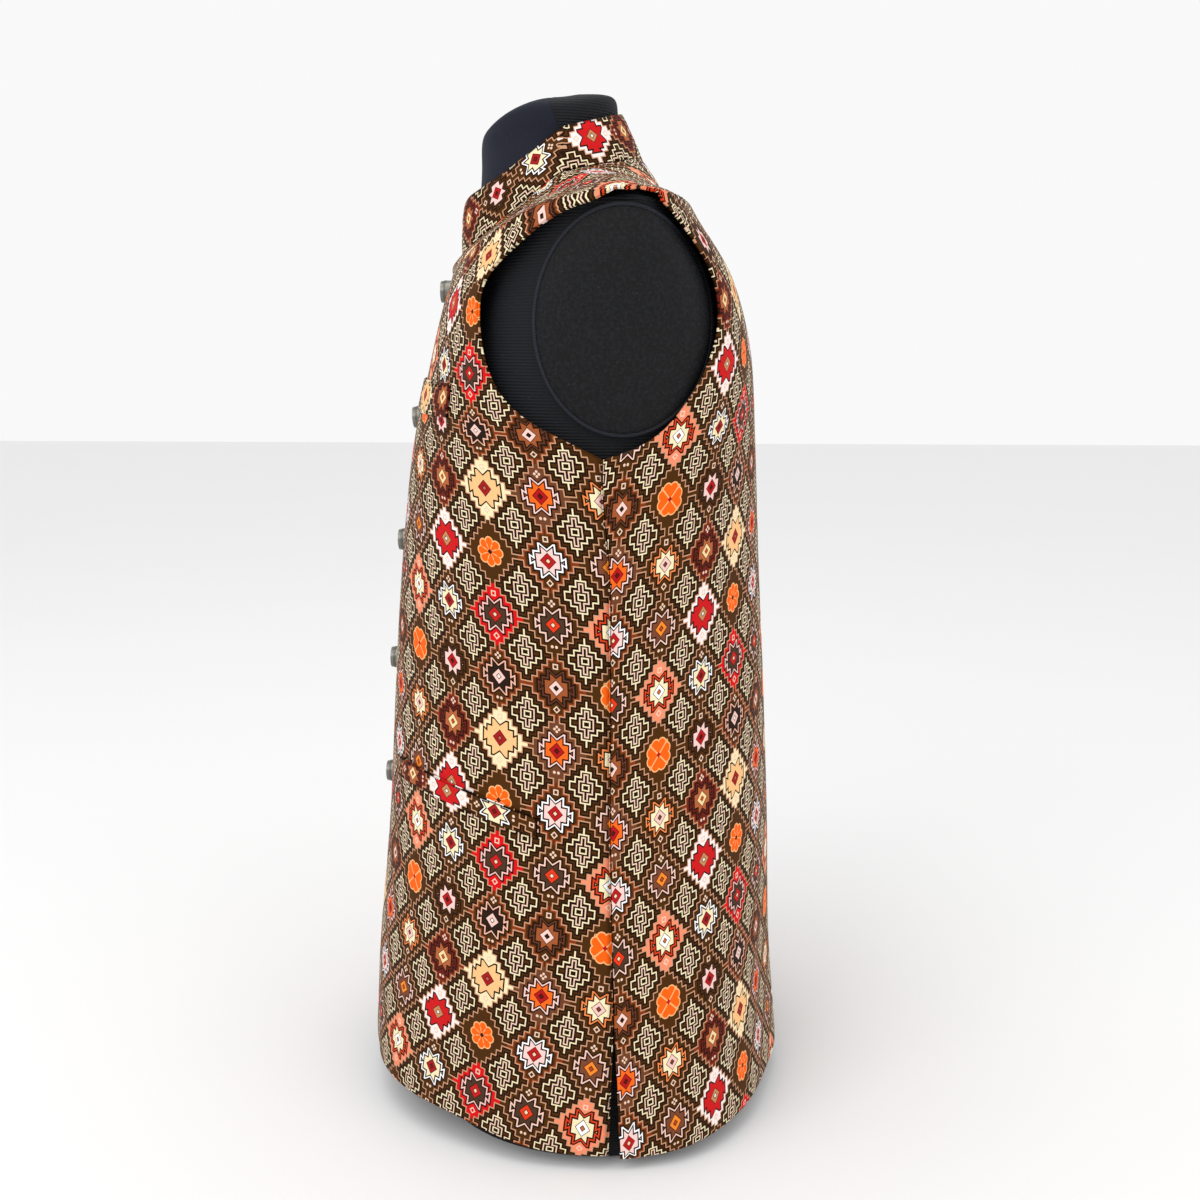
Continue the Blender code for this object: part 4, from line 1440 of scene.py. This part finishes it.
@dataclass
class Front:
    """A front of the jacket."""

    sign: int
    layout: Layout
    cut: Cut
    even_from: float
    columns: int = 54

    def grid(self, rows: np.ndarray, parts: np.ndarray) -> tuple[np.ndarray, np.ndarray, np.ndarray]:
        """Lays out a grid, its columns towards the side seam.

        Args:
            rows: Places of the rows at the centre.
            parts: Places of the columns, 0 at the centre edge and 1 at the side.

        Returns:
            Angles, places and points.
        """
        side_angles, side_places = self.cut.side_line(ARMHOLE_FRONT, -1, rows)
        reach = self.cut.lap if self.sign > 0 else self.cut.underlap
        angles, places = [], []
        for row, side_angle, side_place in zip(rows, side_angles, side_places):
            start, even = JACKET.angle_at(-reach, row), JACKET.angle_at(self.even_from, row)
            line = start + (side_angle - start) * parts
            part = np.clip((line - even) / (side_angle - even), 0, 1)
            place = row + (side_place - row) * eased(part)
            rise = self.cut.hem_place(line, self.cut.front_sweep, self.cut.front_hem)
            rise = rise + self.cut.corner_place(line) + self.cut.kick_place(line)
            angles.append(self.sign * line)
            places.append(place + rise * np.clip(1 - place / self.cut.hem_fade, 0, 1))
        made_angles, made_places = np.array(angles), np.array(places)
        return made_angles, made_places, JACKET.cloth(made_angles, made_places)

    def build(self, finishes: Finishes) -> bpy.types.Object:
        """Builds the front.

        Args:
            finishes: The materials.

        Returns:
            The piece.
        """
        parts = spaced(self.columns, (0.003, 0.010, 0.020), (0.010, 0.003))
        even = np.linspace(0, 1, 19)
        angles, places, points = self.grid(ROWS, parts)
        normals = JACKET.normal(angles, places)
        flat = flatten(self.grid(COARSE_ROWS, even)[2], 1)
        flat[..., 0] *= self.sign
        edges = Edges(self.cut.hem_edge, self.cut.neck_edge, self.cut.front_edge, self.cut.side_edge)
        points = edges.press(points, normals)
        if self.sign < 0:
            depth = self.cut.cloth + self.cut.lap_gap
            sunk = depth * eased(np.clip((self.cut.lap_start + points[..., 0]) / self.cut.lap_ramp, 0, 1))
            points = points - normals * sunk[..., None]
        name = "front_left" if self.sign > 0 else "front_right"
        laid = self.layout.lay(finer(flat, even, parts))
        shell = Shell(f"{name}_cloth", points, normals, self.cut.cloth, laid)
        return shell.sew(name, flat, finishes)


@dataclass
class Back:
    """The back of the jacket, in one piece."""

    layout: Layout
    cut: Cut
    columns: int = 104

    def grid(self, rows: np.ndarray, parts: np.ndarray) -> tuple[np.ndarray, np.ndarray, np.ndarray]:
        """Lays out a grid from the wearer's left side seam to the right one.

        Args:
            rows: Places of the rows at the centre.
            parts: Places of the columns from -1 to 1.

        Returns:
            Angles, places and points.
        """
        side_angles, side_places = self.cut.side_line(ARMHOLE_BACK, 1, rows)
        angles, places = [], []
        for row, side_angle, side_place in zip(rows, side_angles, side_places):
            line = 180 + parts * (180 - side_angle)
            place = row + (side_place - row) * eased(np.abs(parts))
            rise = self.cut.hem_place(line, self.cut.back_sweep, 0.0)
            angles.append(line)
            places.append(place + rise * np.clip(1 - place / self.cut.hem_fade, 0, 1))
        made_angles, made_places = np.array(angles), np.array(places)
        return made_angles, made_places, JACKET.cloth(made_angles, made_places)

    def build(self, finishes: Finishes) -> bpy.types.Object:
        """Builds the back.

        Args:
            finishes: The materials.

        Returns:
            The piece.
        """
        parts = spaced(self.columns, (0.0015, 0.005), (0.005, 0.0015)) * 2 - 1
        even = np.linspace(-1, 1, 33)
        angles, places, points = self.grid(ROWS, parts)
        normals = JACKET.normal(angles, places)
        flat = flatten(self.grid(COARSE_ROWS, even)[2], len(even) // 2)
        edges = Edges(self.cut.hem_edge, self.cut.neck_edge, self.cut.side_edge, self.cut.side_edge)
        points = edges.press(points, normals)
        laid = self.layout.lay(finer(flat, even, parts))
        shell = Shell("back_cloth", points, normals, self.cut.cloth, laid)
        return shell.sew("back", flat, finishes)


@dataclass
class Collar:
    """Standing collar: a stiff band, rounded at the front, its cloth cut across the grain."""

    layout: Layout
    cloth: float = 0.0030
    corner: float = 0.033
    seam: float = 0.0003
    parting: float = 0.0012
    crowding: float = 0.055
    swell: float = 0.0004
    edge: float = 0.0003
    columns: int = 150
    levels: int = 14

    def grid(self) -> tuple[np.ndarray, np.ndarray, np.ndarray]:
        """Lays out the band's outer face from its left end round the nape to its right end.

        Returns:
            Points, normals and the flat cut.
        """
        band = Skin((RINGS[-1], COLLAR_TOP))
        first = JACKET.angle_at(self.parting, NECK)
        spread = spaced(self.columns, (0.0015, 0.004), (0.004, 0.0015))
        spread = spread - self.crowding * np.sin(2 * math.pi * spread)
        angles = first + (360 - 2 * first) * spread
        bottom, top = (band.smooth(angles, np.full(angles.shape, place)) for place in (0.0, 1.0))
        tall = np.linalg.norm(top - bottom, axis=1)
        run = np.concatenate([[0], np.cumsum(np.linalg.norm(np.diff(bottom, axis=0), axis=1))])
        near = np.clip(self.corner - np.minimum(run, run[-1] - run), 0, self.corner)
        cut = self.corner - np.sqrt(self.corner**2 - near**2)
        levels = spaced(self.levels, (0.02, 0.06), (0.06, 0.02))
        shares = [(self.seam + (tall - self.seam - cut) * level) / tall for level in levels]
        outer = np.array([bottom + (top - bottom) * share[:, None] for share in shares])
        normals = np.cross(np.gradient(outer, axis=1), np.gradient(outer, axis=0))
        normals /= np.linalg.norm(normals, axis=-1, keepdims=True)
        uneven = 1 + 0.4 * np.sin(np.radians(angles * 5))
        swell = self.swell * np.sin(math.pi * levels)[:, None] * uneven[None]
        outer = Edges(0.0, self.edge, self.edge, self.edge).press(outer + normals * swell[..., None], normals)
        height = levels[:, None] * (tall - cut)[None]
        edge = np.gradient(bottom, axis=0)
        lean = np.sum(edge * (top - bottom), axis=1) / np.linalg.norm(edge, axis=1) / tall
        return outer, normals, np.stack([run + height * lean, height * np.sqrt(1 - lean**2)], axis=-1)

    def build(self, finishes: Finishes) -> bpy.types.Object:
        """Builds the band.

        Args:
            finishes: The materials.

        Returns:
            The piece.
        """
        outer, normals, flat = self.grid()
        shell = Shell("collar_cloth", outer, normals, self.cloth, self.layout.lay(flat))
        return shell.sew("collar", flat, finishes)


@dataclass
class Welt:
    """Welt of a pocket: a pressed strip on its front, between two angles and two heights."""

    name: str
    front: str
    inner: float
    outer: float
    low: float
    high: float
    tilt: float
    arch: float
    layout: Layout
    cloth: float = 0.0016
    lift: float = 0.0003
    crown: float = 0.0002
    sag: float = 0.0003
    columns: int = 72
    rows: int = 10

    def grid(self) -> tuple[np.ndarray, np.ndarray, np.ndarray]:
        """Lays out the strip's outer face on its front, the fold of its upper edge a little fuller.

        Returns:
            Points, normals and the flat cut.
        """
        parts = spaced(self.columns, (0.004, 0.012), (0.012, 0.004))
        levels = spaced(self.rows, (0.03, 0.10), (0.10, 0.03))
        angles = self.inner + (self.outer - self.inner) * parts
        tilts = self.tilt * (1 - parts) + self.arch * 4 * parts * (1 - parts)
        base, top = (
            np.array([JACKET.place_at(angle, height + tilt) for angle, tilt in zip(angles, tilts)])
            for height in (self.low, self.high)
        )
        places = base[None] + (top - base)[None] * levels[:, None]
        spread = np.broadcast_to(angles, places.shape)
        points, normals = JACKET.cloth(spread, places), JACKET.normal(spread, places)
        crown = self.crown * np.sin(math.pi * levels)[:, None]
        sag = self.sag * np.sin(math.pi * parts)[None] * levels[:, None]
        outer = points + normals * (self.lift + self.cloth + crown + sag)[..., None]
        way = 1 if self.outer > self.inner else -1
        flat = np.stack([way * run_of(points, 1), run_of(points, 0)], axis=-1)
        return outer[:, ::way], normals[:, ::way], flat[:, ::way]

    def build(self, finishes: Finishes) -> bpy.types.Object:
        """Builds the strip.

        Args:
            finishes: The materials.

        Returns:
            The piece.
        """
        outer, normals, flat = self.grid()
        shell = Shell(f"{self.name}_cloth", outer, normals, self.cloth, self.layout.lay(flat))
        return shell.sew(self.name, flat, finishes)


# ---------------------------------------------------------------- hard pieces


class Hands:
    """The few moves of modelling that the hard pieces share."""

    @staticmethod
    def clear() -> None:
        """Leaves edit mode and deselects everything."""
        if bpy.context.object is not None and bpy.context.object.mode != "OBJECT":
            bpy.ops.object.mode_set(mode="OBJECT")
        bpy.ops.object.select_all(action="DESELECT")

    @staticmethod
    def pick_faces(piece: bpy.types.Object, wanted: Callable[[bmesh.types.BMFace], bool]) -> None:
        """Selects faces of the piece in edit mode.

        Args:
            piece: The piece.
            wanted: Tells whether a face is selected.
        """
        work = bmesh.from_edit_mesh(piece.data)
        for part in (*work.verts, *work.edges, *work.faces):
            part.select = False
        for face in work.faces:
            if wanted(face):
                face.select_set(True)
        bmesh.update_edit_mesh(piece.data)

    @staticmethod
    def inset(steps: Sequence[tuple[float, float]]) -> None:
        """Insets the selected faces step by step.

        Args:
            steps: How far in and how far out each step goes.
        """
        for thick, rise in steps:
            bpy.ops.mesh.inset(thickness=thick, depth=rise)

    @staticmethod
    def modify(piece: bpy.types.Object, kind: str, **settings: object) -> None:
        """Adds a modifier to the active piece and applies it.

        Args:
            piece: The piece.
            kind: The modifier's type.
            settings: Its settings.
        """
        tool = piece.modifiers.new(kind.title(), kind)
        for key, value in settings.items():
            setattr(tool, key, value)
        bpy.ops.object.modifier_apply(modifier=tool.name)

    @staticmethod
    def ring(
        segments: tuple[int, int], thick: float, radius: float,
    ) -> tuple[bpy.types.Object, np.ndarray, np.ndarray]:
        """Adds a round ring of 1 m, to be laid along an oval of another size.

        Args:
            segments: Segments round the ring and round its thread.
            thick: Radius of its thread as it is added.
            radius: Radius that the thread will have.

        Returns:
            The ring, each point's way outwards, and its place about the thread's middle.
        """
        Hands.clear()
        bpy.ops.mesh.primitive_torus_add(
            major_segments=segments[0], minor_segments=segments[1], major_radius=1.0, minor_radius=thick)
        ring = bpy.context.object
        points = np.array([vertex.co[:] for vertex in ring.data.vertices])
        reach = np.linalg.norm(points[:, :2], axis=1, keepdims=True)
        thread = np.concatenate([reach - 1.0, points[:, 2:]], axis=1) / thick * radius
        return ring, points[:, :2] / reach, thread

    @staticmethod
    def settle(
        piece: bpy.types.Object,
        name: str,
        points: np.ndarray,
        material: bpy.types.Material,
        slot: str,
        *nodes: str,
    ) -> None:
        """Moves a modelled piece's points to where it lies, and puts it on the body.

        Args:
            piece: The piece.
            name: Its name.
            points: Its points in the row's frame.
            material: Its material.
            slot: The record's material slot that it takes.
            nodes: The nodes that it stands for.
        """
        piece.data.vertices.foreach_set("co", points.astype(np.float32).ravel())
        face_out(piece.data)
        piece.name = piece.data.name = name
        piece.data.materials.append(material)
        ride(piece, slot, *nodes)


@dataclass
class Button:
    """Metal shank button: a domed face with a raised rim and a rosette, on a shank."""

    radius: float = 0.0083
    depth: float = 0.0030
    top: float = 0.6130
    pitch: float = 0.0966
    count: int = 5
    lift: float = 0.0064
    seat: float = 0.0004
    aside: float = 0.0020
    spin: float = 17.0
    tilts: tuple[float, ...] = (15.0, 17.0, 7.0, 4.0, 5.0)
    petals: tuple[float, float] = (0.0034, 0.0060)
    face: tuple[tuple[float, float], ...] = (
        (0.0008, 0.0005), (0.0005, 0.0), (0.0004, -0.0008), (0.0022, 0.0005), (0.0006, 0.0001),
        (0.0004, 0.0005), (0.0012, 0.0003))
    under: tuple[tuple[float, float], ...] = ((0.0012, 0.0), (0.0030, 0.0006), (0.0018, 0.0002))

    def model(self, metal: bpy.types.Material) -> bpy.types.Object:
        """Models one button at the origin, its face towards +Z.

        Args:
            metal: Its material.

        Returns:
            The button.
        """
        Hands.clear()
        bpy.ops.mesh.primitive_cylinder_add(
            vertices=32, radius=self.radius, depth=self.depth, location=(0, 0, self.depth / 2))
        button = bpy.context.object
        bpy.ops.object.mode_set(mode="EDIT")
        Hands.pick_faces(button, lambda face: face.calc_center_median().z > self.depth - 1e-5)
        Hands.inset(self.face)
        Hands.pick_faces(button, self.is_petal)
        Hands.inset(((0.00012, 0.00035),))
        Hands.pick_faces(button, lambda face: face.calc_center_median().z < 1e-5)
        Hands.inset(self.under)
        bpy.ops.mesh.extrude_region_move(TRANSFORM_OT_translate={"value": (0, 0, -self.lift - 0.0006)})
        bpy.ops.object.mode_set(mode="OBJECT")
        corner = math.radians(35)
        Hands.modify(button, "BEVEL", width=0.00018, segments=2, limit_method="ANGLE", angle_limit=corner)
        Hands.modify(button, "SUBSURF", levels=1, render_levels=1)
        button.data.materials.append(metal)
        button.data.shade_smooth()
        return button

    def is_petal(self, face: bmesh.types.BMFace) -> bool:
        """Tells whether a face belongs to one of the rosette's eight petals.

        Args:
            face: The face.

        Returns:
            Whether it does.
        """
        middle = face.calc_center_median()
        turn = math.atan2(middle.y, middle.x) / (2 * math.pi) * 16
        near, far = self.petals
        return near < math.hypot(middle.x, middle.y) < far and int(turn // 1) % 2 == 0 and middle.z > 0.002

    def build(self, finishes: Finishes) -> None:
        """Places the buttons down the centre front, each turned about the cloth's normal.

        Args:
            finishes: The materials.
        """
        pattern = self.model(finishes.metal)
        for number in range(self.count):
            height = self.top - self.pitch * number
            place = np.array(JACKET.place_at(0.0, height))
            seat = JACKET.cloth(np.array(0.0), place) + SHIFT + np.array([self.aside, 0.0, 0.0])
            normal = JACKET.normal(np.array(0.0), place)
            out = Vector((0.0, float(normal[1]), float(normal[2]))).normalized()
            right = Vector((1.0, 0.0, 0.0))
            mesh = pattern.data.copy()
            mesh.name = f"button_{number + 1}_metal"
            spin = Matrix.Rotation(math.radians(self.tilts[number]), 4, "X")
            spin = spin @ Matrix.Rotation(math.radians(self.spin * number), 4, "Z")
            turn = Matrix((right, out.cross(right), out)).transposed().to_4x4()
            mesh.transform(Matrix.Translation(Vector(seat) + out * (self.lift + self.seat)) @ turn @ spin)
            piece = bpy.data.objects.new(mesh.name, mesh)
            bpy.context.scene.collection.objects.link(piece)
            ride(piece, "button_metal", f"button_{number + 1}")
        bpy.data.objects.remove(pattern)


@dataclass
class Buttonholes:
    """Stitched buttonholes of the left front, each running from its button's shank to the side."""

    length: float = 0.021
    wide: float = 0.0012
    thread: float = 0.00045
    start: float = 0.62

    def build(self, finishes: Finishes) -> None:
        """Builds each as a ring of stitches lying on the cloth.

        Args:
            finishes: The materials.
        """
        button = Button()
        half = self.length / 2
        for number in range(button.count):
            place = JACKET.place_at(0.0, button.top - button.pitch * number)
            ring, way, thread = Hands.ring((72, 8), 0.12, self.thread)
            turn = np.arctan2(way[:, 1], way[:, 0])
            along_slit = half * np.sign(np.cos(turn)) * np.abs(np.cos(turn)) ** 0.5
            x = along_slit + way[:, 0] * thread[:, 0] + half * self.start
            z = self.wide * np.sin(turn) + way[:, 1] * thread[:, 0]
            angles = np.array([JACKET.angle_at(value, place) for value in x])
            places = place + z / RINGS[1].side_z
            lift = thread[:, 1:2] + self.thread
            lie = JACKET.cloth(angles, places) + JACKET.normal(angles, places) * lift
            name = f"buttonhole_{number + 1}_stitches"
            Hands.settle(ring, name, lie + SHIFT, finishes.thread, "printed_cloth")


# ---------------------------------------------------------------- the dress form


@dataclass
class DressForm:
    """Limbless form: padded body, neck and cap under black jersey, with an oval pad in each armhole."""

    insets: tuple[float, ...] = (
        0.0140, 0.0150, 0.0150, 0.0140, 0.0120, 0.0100, 0.0110, 0.0120, 0.0080, 0.0031, 0.0033, 0.0060)
    chest_clear: float = 0.0030
    tuck_front: float = 0.036
    tuck_back: float = 0.022
    tuck_rings: float = 2.2
    base_edge: float = 0.004
    foot_place: float = 0.05
    crown: float = 0.7575
    columns: int = 200
    seam_depth: float = 0.0010
    seam_at: float = 71.9
    seam_lean: float = 4.7
    seam_wide: float = 2.0
    plate_y: float = 0.0425
    plate_z: float = 0.5895
    plate_wide: float = 0.0598
    plate_high: float = 0.0745
    plate_edge: float = 0.0040
    plate_crown: float = 0.0095
    plate_lift: float = 0.0009
    piping: float = 0.0013
    piping_in: float = 0.0006
    domes: tuple[tuple[float, float], ...] = (
        (0.03, 0.14), (0.05, 0.10), (0.12, 0.10), (0.16, 0.06), (0.2, 0.04), (0.2, 0.02), (0.12, 0.0))

    def point(self, angle: np.ndarray, place: np.ndarray) -> np.ndarray:
        """Finds points of the form's body.

        Args:
            angle: Degrees from the centre front.
            place: Places along the jacket's rings.

        Returns:
            The points.
        """
        ahead = np.cos(np.radians(angle))
        tuck = np.where(ahead > 0, self.tuck_front, self.tuck_back) * ahead * ahead
        inset = along(self.insets, place) + tuck * eased(np.clip(1 - place / self.tuck_rings, 0, 1))
        inset = inset + self.chest_clear * eased(np.clip(ahead, 0, 1))
        plain = Skin(RINGS, (), PLACES)
        return plain.smooth(angle, place) - plain.normal(angle, place) * inset[..., None]

    def body(self, finishes: Finishes) -> bpy.types.Object:
        """Builds the body, neck and cap as one closed skin on a flat base.

        Args:
            finishes: The materials.

        Returns:
            The piece.
        """
        angles = np.linspace(0, 360, self.columns, endpoint=False)
        rows = np.concatenate([np.linspace(0.12, ARMPIT, 30), np.linspace(ARMPIT, NECK, 46)[1:]])
        lines = [self.point(angles, np.full(angles.shape, row)) for row in rows]
        foot = self.point(angles, np.full(angles.shape, self.foot_place))
        rim = foot.copy()
        rim[:, 2] = self.base_edge - SHIFT[2]
        middle = np.array([0.0, RINGS[0].middle, 0.0])
        under = []
        for share in (0.0, 0.35, 0.7):
            bend = math.cos(share * math.pi / 2)
            ring = middle + (foot - middle) * (1 - self.base_edge / RINGS[0].wide * bend)
            ring[:, 2] = -SHIFT[2] + self.base_edge * (1 - bend)
            under.append(ring)
        lines = under + [rim] + lines
        neck = Skin(NECK_RINGS)
        for place in np.linspace(0, len(NECK_RINGS) - 1, 26):
            here = np.full(angles.shape, place)
            off = (np.abs(angles - 180) - self.seam_at - self.seam_lean * place) / self.seam_wide
            seam = np.exp(-(off**2)) * self.seam_depth
            lines.append(neck.smooth(angles, here) - neck.normal(angles, here) * seam[:, None])
        tip = [[0.0, NECK_RINGS[-1].middle, self.crown]]
        points = np.concatenate(lines + [tip])
        faces: list[list[int]] = [list(range(self.columns))[::-1]]
        for row in range(len(lines) - 1):
            for column in range(self.columns):
                following = (column + 1) % self.columns
                low, high = row * self.columns, (row + 1) * self.columns
                faces.append([low + column, low + following, high + following, high + column])
        top = (len(lines) - 1) * self.columns
        faces += [[top + c, top + (c + 1) % self.columns, len(points) - 1] for c in range(self.columns)]
        piece = add_piece("form_body", points + SHIFT, faces, (finishes.jersey,))
        ride(piece, "black_jersey", "dress_form")
        return piece

    def pad(self, tree: BVHTree, sign: int, finishes: Finishes) -> None:
        """Models the padded oval of one armhole and the piping round it.

        Args:
            tree: The form's skin.
            sign: 1 on the wearer's left, -1 on the right.
            finishes: The materials.
        """
        word = "left" if sign > 0 else "right"
        Hands.clear()
        bpy.ops.mesh.primitive_circle_add(vertices=64, radius=1.0, fill_type="NGON")
        oval = bpy.context.object
        bpy.ops.object.mode_set(mode="EDIT")
        bpy.ops.mesh.select_all(action="SELECT")
        bpy.ops.mesh.extrude_region_move(TRANSFORM_OT_translate={"value": (0, 0, 0.6)})
        Hands.inset(self.domes)
        bpy.ops.object.mode_set(mode="OBJECT")
        Hands.modify(oval, "SUBSURF", levels=1, render_levels=1)
        flat = np.array([vertex.co[:] for vertex in oval.data.vertices])
        reach = np.minimum(np.linalg.norm(flat[:, :2], axis=1), 1.0)
        level = flat[:, 2] / flat[:, 2].max()
        crown = self.plate_edge + (self.plate_crown - self.plate_edge) * np.sqrt(np.maximum(1 - reach**2, 0))
        y = self.plate_y - flat[:, 0] * self.plate_wide
        z = self.plate_z + flat[:, 1] * self.plate_high
        ripple = self.ripples(flat[:, 0], flat[:, 1]) * level
        x = self.side(tree, y, z) + self.plate_lift + crown * level + ripple
        lie = np.stack([x * sign, y, z], axis=-1) + SHIFT
        Hands.settle(oval, f"arm_pad_{word}", lie, finishes.plate, "black_jersey", f"arm_plate_{word}")
        ring, way, thread = Hands.ring((96, 12), 0.1, self.piping)
        y = self.plate_y - way[:, 0] * (self.plate_wide - self.piping_in + thread[:, 0])
        z = self.plate_z + way[:, 1] * (self.plate_high - self.piping_in + thread[:, 0])
        x = self.side(tree, y, z) + self.plate_lift + self.plate_edge * 0.82 + thread[:, 1]
        lie = np.stack([x * sign, y, z], axis=-1) + SHIFT
        Hands.settle(ring, f"arm_piping_{word}", lie, finishes.piping, "black_jersey")

    @staticmethod
    def ripples(x: np.ndarray, y: np.ndarray) -> np.ndarray:
        """Finds the soft wrinkles and the seam of an oval pad.

        Args:
            x: Places from back to front, 1 at the rim.
            y: Places upwards, 1 at the rim.

        Returns:
            Their lift in metres.
        """
        seam = -0.0007 * np.exp(-(((y - 0.35 + 0.9 * (x + 0.2)) / 0.03) ** 2)) * (y > 0.15)
        low = 0.0006 * np.exp(-(((y + 0.50 + 0.25 * x) / 0.05) ** 2 + ((x + 0.1) / 0.45) ** 2))
        lower = -0.0005 * np.exp(-(((y + 0.62 + 0.15 * x) / 0.05) ** 2 + ((x - 0.1) / 0.4) ** 2))
        return seam + low + lower

    @staticmethod
    def side(tree: BVHTree, y: np.ndarray, z: np.ndarray) -> np.ndarray:
        """Finds the form's half width.

        Args:
            tree: The form's skin.
            y: Places from front to back.
            z: Heights.

        Returns:
            The half width at each.
        """
        outside, missed, look = 0.4, 0.17, Vector((-1.0, 0.0, 0.0))
        starts = [Vector((outside, float(a) + SHIFT[1], float(b) + SHIFT[2])) for a, b in zip(y, z)]
        hits = [tree.ray_cast(start, look)[0] for start in starts]
        return np.array([hit.x if hit is not None else missed for hit in hits])

    def build(self, finishes: Finishes) -> None:
        """Builds the body and both pads.

        Args:
            finishes: The materials.
        """
        body = self.body(finishes)
        tree = BVHTree.FromObject(body, bpy.context.evaluated_depsgraph_get())
        for sign in (1, -1):
            self.pad(tree, sign, finishes)


# ---------------------------------------------------------------- floor, light and camera


@dataclass
class Studio:
    """Pale floor, soft light and the camera."""

    tilt: float = 10.52
    turn: float = 3.0
    away: float = 1.1103
    along: float = 0.018
    height: float = 0.578
    lens: float = 42.0
    sensor: float = 36.0
    sky: float = 0.95
    aim: tuple[float, float, float] = (0.0, 0.0, 0.4)

    def floor(self, finishes: Finishes) -> None:
        """Lays the floor.

        Args:
            finishes: The materials.
        """
        Hands.clear()
        bpy.ops.mesh.primitive_grid_add(
            x_subdivisions=8, y_subdivisions=8, size=14.0, location=(0, 0, -0.0004))
        ground = bpy.context.object
        ground.name = ground.data.name = "floor"
        ground.data.materials.append(finishes.floor)

    def lamp(self, name: str, at: tuple[float, float, float], size: float, power: float) -> None:
        """Hangs a square lamp that shines at the jacket.

        Args:
            name: Its name.
            at: Its place.
            size: Its side.
            power: Its power.
        """
        light = bpy.data.lights.new(name, "AREA")
        light.size = size
        light.energy = power
        lamp = bpy.data.objects.new(name, light)
        lamp.location = at
        lamp.rotation_euler = (Vector(self.aim) - Vector(at)).to_track_quat("-Z", "Y").to_euler()
        bpy.context.scene.collection.objects.link(lamp)

    def light(self) -> None:
        """Sets the soft light of a bright white studio."""
        world = bpy.data.worlds.new("white_room")
        world.use_nodes = True
        backdrop = world.node_tree.nodes["Background"]
        backdrop.inputs["Color"].default_value = (1.0, 1.0, 1.0, 1.0)
        backdrop.inputs["Strength"].default_value = self.sky
        bpy.context.scene.world = world
        bpy.context.scene.view_settings.view_transform = "Standard"
        self.lamp("key", (1.9, -1.3, 1.9), 1.6, 16.0)
        self.lamp("fill", (1.6, 1.9, 1.2), 1.8, 9.0)
        self.lamp("top", (0.5, -0.5, 2.7), 1.4, 11.0)

    def camera(self) -> None:
        """Places the camera."""
        tilt, turn = math.radians(self.tilt), math.radians(self.turn)
        ahead = Vector((-math.cos(turn), -math.sin(turn), 0.0))
        right = Vector((-math.sin(turn), math.cos(turn), 0.0))
        look = ahead * math.cos(tilt) - Vector((0.0, 0.0, math.sin(tilt)))
        up = right.cross(look)
        at = Vector(SHIFT) - ahead * self.away + right * self.along + Vector((0.0, 0.0, self.height))
        data = bpy.data.cameras.new("camera")
        data.lens = self.lens
        data.sensor_width = self.sensor
        eye = bpy.data.objects.new("camera", data)
        turned = Matrix((right, up, -look)).transposed().to_4x4()
        eye.matrix_world = Matrix.Translation(at) @ turned
        bpy.context.scene.collection.objects.link(eye)
        bpy.context.scene.camera = eye


def main() -> None:
    """Builds the pieces, the studio and the camera."""
    logging.basicConfig(level=logging.INFO, format="%(name)s: %(message)s")
    bpy.ops.object.select_all(action="DESELECT")
    finishes = Finishes.make()
    cut = Cut()
    left = Layout(-0.1006, -0.1519, u_bow=0.168, v_out=-0.0737, v_bow=0.2096, v_up=-0.0226)
    right = Layout(0.0130, -0.1440, u_bow=-0.168, v_out=0.0737, v_bow=-0.2096, v_up=-0.0226)
    Front(1, left, cut, 0.006).build(finishes)
    Front(-1, right, cut, 0.021).build(finishes)
    Back(Layout(0.2650, -0.1307, u_spread=0.22, u_crowd=1.2, v_dip=0.4764, v_up=-0.0290), cut).build(finishes)
    Collar(Layout(0.1045, 0.0930, turns=3)).build(finishes)
    chest, hip = (0.525, 0.549, 0.001, 0.0), (0.235, 0.2505, 0.0175, 0.0068)
    for name, front, inner, outer, sizes, layout in (
        ("chest_welt", "front_left_cloth", 14.0, 53.0, chest, Layout(0.184, -0.0296, turns=2)),
        ("hip_welt_left", "front_left_cloth", 33.0, 79.5, hip, Layout(0.0742, -0.0155, turns=1)),
        ("hip_welt_right", "front_right_cloth", -33.0, -79.5, hip, Layout(0.117, 0.02, turns=1)),
    ):
        Welt(name, front, inner, outer, *sizes, layout).build(finishes)
    Button().build(finishes)
    Buttonholes().build(finishes)
    DressForm().build(finishes)
    studio = Studio()
    studio.floor(finishes)
    studio.light()
    studio.camera()


if __name__ == "__main__":
    main()
